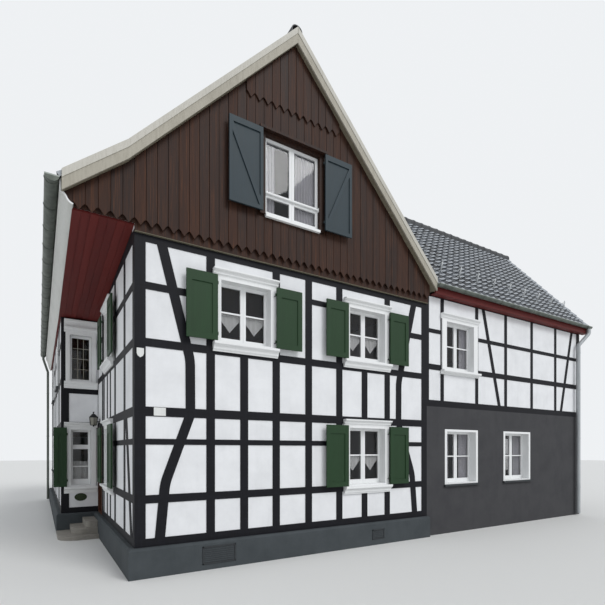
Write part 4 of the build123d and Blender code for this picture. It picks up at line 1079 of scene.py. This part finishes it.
def bracket(middle, out, radius):
    """A strap round the underside of a gutter, from its outer lip to its back."""
    angles = [pi * k / 12 for k in range(13)]
    strap = [middle + (out * cos(a) - Vector((0, 0, sin(a)))) * radius for a in angles]
    brackets.tube(strap, BRACKET_BAR, 6)


for count, (x, y, z), (step_x, step_y), out, radius in bracket_rows:
    for number in range(count):
        bracket(spot(x + number * step_x, y + number * step_y, z), out, radius)
brackets.piece("gutter_brackets", GUTTER, "zinc", smooth=True)

# Each downpipe's place, radius and clamp heights
downpipes = (
    (13.79, -0.108, 0.058, (0.9, 2.5, 4.1, 5.3)),
    (-1.02, 13.7, 0.045, (0.9, 2.7, 4.5)),
)
clamps = Solids()
for x, y, radius, levels in downpipes:
    for z in levels:
        clamps.tube([spot(x, y, z), spot(x, y, z + CLAMP_HEIGHT)], radius + CLAMP_THICK, 20)
clamps.piece("pipe_clamps", PIPE, "zinc", bevel=0.002)

# Bare plates on the storey beam, the corner post and the return wall
PLATE_THICK = 0.008
OVAL_MIDDLE = (0.45, 0.9)
OVAL_RIM = (0.146, 0.1)
OVAL_FIELD = (0.128, 0.084)
plates = Solids()
plates.block(FRONT, 0.31, 0.51, 2.712, 2.852, 0, PLATE_THICK)
shield = [
    (0.035, 3.83), (0.035, 3.74), (0.05, 3.7), (0.093, 3.672),
    (0.136, 3.7), (0.151, 3.74), (0.151, 3.83),
]
plates.prism(FRONT, shield, 0, PLATE_THICK)
plates.piece("house_plates", PLATE_WHITE, bevel=0.003)


def ellipse(middle, radii):
    """An upright oval outline round a middle."""
    turns = [2 * pi * k / 36 for k in range(36)]
    return [(middle[0] + radii[0] * cos(a), middle[1] + radii[1] * sin(a)) for a in turns]


oval = Solids()
oval.prism(RETURN, ellipse(OVAL_MIDDLE, OVAL_RIM), -0.012, 0.004)
oval.prism(RETURN, ellipse(OVAL_MIDDLE, OVAL_FIELD), 0, 0.007)
oval.piece("oval_plate", PLATE_GREEN, bevel=0.002)

# Vents in the front plinth: a frame round level slats
PLINTH_OUT = 0.11
VENT_RIM = 0.025
SLAT_PITCH = 0.035
SLAT_HALF = 0.006
SLAT_SIDE = 0.02
vents = Solids()
for x0, x1, z0, z1 in ((1.12, 1.75, 0.1, 0.42), (5.01, 5.36, 0.13, 0.35)):
    edges = (
        (x0, x1, z0, z0 + VENT_RIM),
        (x0, x1, z1 - VENT_RIM, z1),
        (x0, x0 + VENT_RIM, z0, z1),
        (x1 - VENT_RIM, x1, z0, z1),
    )
    for edge in edges:
        vents.block(FRONT, *edge, PLINTH_OUT - 0.01, PLINTH_OUT + 0.012)
    count = round((z1 - z0) / SLAT_PITCH)
    for number in range(1, count):
        z = z0 + (z1 - z0) * number / count
        vents.block(FRONT, x0 + SLAT_SIDE, x1 - SLAT_SIDE, z - SLAT_HALF, z + SLAT_HALF,
                    PLINTH_OUT - 0.01, PLINTH_OUT + 0.008)
vents.piece("plinth_vents", SLATE_SILL, "iron", bevel=0.0015)

# Rail across the gable window, inside the reveal so that the shutters close over it
RAIL_Z = 7.08
RAIL_OUT = 0.078
guard = Solids()
guard.tube([FRONT @ Vector((x, RAIL_Z, RAIL_OUT)) for x in (2.345, 3.595)], 0.019)
for x in (2.352, 3.588):
    guard.block(FRONT, x - 0.008, x + 0.008, RAIL_Z - 0.04, RAIL_Z + 0.04, 0.052, 0.098)
guard.piece("window_rail", WHITE, "white_joinery")

# Lantern panes between iron bars, counted from the lantern's foot
LAMP_PLACE = Matrix.Translation((0, 2.76, 0.15)) @ Matrix.Rotation(radians(-90), 4, "X")
LAMP = facing(0, RECESS_DEPTH - 0.43, -90) @ LAMP_PLACE
LAMP_FOOT = 0.079
LAMP_HEAD = 0.106
LAMP_FLARE = 1.32
panes = Solids()
cage = Solids()
lamp_turns = [pi * k / 3 for k in range(6)]
panes.prism(LAMP, [(LAMP_FOOT * cos(a), LAMP_FOOT * sin(a)) for a in lamp_turns], 0.012, 0.2, LAMP_FLARE)
for a in lamp_turns:
    foot = LAMP @ Vector((LAMP_FOOT * cos(a), LAMP_FOOT * sin(a), 0.008))
    head = LAMP @ Vector((LAMP_HEAD * cos(a), LAMP_HEAD * sin(a), 0.205))
    cage.tube([foot, head], 0.006, 6)
for low, high, radius in ((0.29, 0.33, 0.012), (0.325, 0.35, 0.02), (-0.03, 0.002, 0.018)):
    cage.tube([LAMP @ Vector((0, 0, low)), LAMP @ Vector((0, 0, high))], radius)
panes.piece("lantern_panes", LAMP_PANE, "window_glass")
cage.piece("lantern_bars", IRON, "iron", smooth=True)

# Door handle on its plate
HANDLE_X = 0.72
HANDLE_Z = 1.6
handle = Solids()
handle.block(LEFT, HANDLE_X - 0.02, HANDLE_X + 0.02, 1.46, 1.68, -0.06, -0.054)
handle.tube([LEFT @ Vector((HANDLE_X, HANDLE_Z, out)) for out in (-0.056, -0.014)], 0.008)
handle.tube([LEFT @ Vector((x, HANDLE_Z, -0.018)) for x in (HANDLE_X + 0.005, HANDLE_X - 0.1)], 0.009)
handle.piece("door_handle", IRON, "iron", body="entrance_door", bevel=0.001)

# Floor and light
FLOOR_HALF = 90
floor_corners = [(x * FLOOR_HALF, y * FLOOR_HALF, 0) for x, y in ((-1, -1), (1, -1), (1, 1), (-1, 1))]
floor_data = bpy.data.meshes.new("floor")
floor_data.from_pydata(floor_corners, [], [(0, 1, 2, 3)])
floor = bpy.data.objects.new("floor", floor_data)
scene.collection.objects.link(floor)
pale_floor = Finish("pale_floor", Roughness=0.9)
pale_floor.set(Base_Color=tint("#dcdcda"))
floor_data.materials.append(pale_floor.material)

world = bpy.data.worlds.new("studio")
scene.world = world
world.use_nodes = True
sky = world.node_tree
backdrop = sky.nodes.new("ShaderNodeBackground")
backdrop.inputs["Color"].default_value = (0.86, 0.88, 0.9, 1)
light = sky.nodes["Background"]
light.inputs["Color"].default_value = (0.93, 0.96, 1, 1)
light.inputs["Strength"].default_value = 0.72
# The camera, gloss and glass see the backdrop, and the rest is lit by the light
path = sky.nodes.new("ShaderNodeLightPath")
seen = path.outputs["Is Camera Ray"]
for ray in ("Is Glossy Ray", "Is Transmission Ray"):
    either = sky.nodes.new("ShaderNodeMath")
    either.operation = "MAXIMUM"
    sky.links.new(seen, either.inputs[0])
    sky.links.new(path.outputs[ray], either.inputs[1])
    seen = either.outputs[0]
choice = sky.nodes.new("ShaderNodeMixShader")
sky.links.new(seen, choice.inputs[0])
sky.links.new(light.outputs[0], choice.inputs[1])
sky.links.new(backdrop.outputs[0], choice.inputs[2])
sky.links.new(choice.outputs[0], sky.nodes["World Output"].inputs["Surface"])

sun_data = bpy.data.lights.new("soft_key", "SUN")
sun_data.energy = 1.3
sun_data.angle = radians(25)
sun = bpy.data.objects.new("soft_key", sun_data)
sun.rotation_euler = (radians(48), 0, radians(22))
scene.collection.objects.link(sun)
scene.view_settings.view_transform = "Standard"
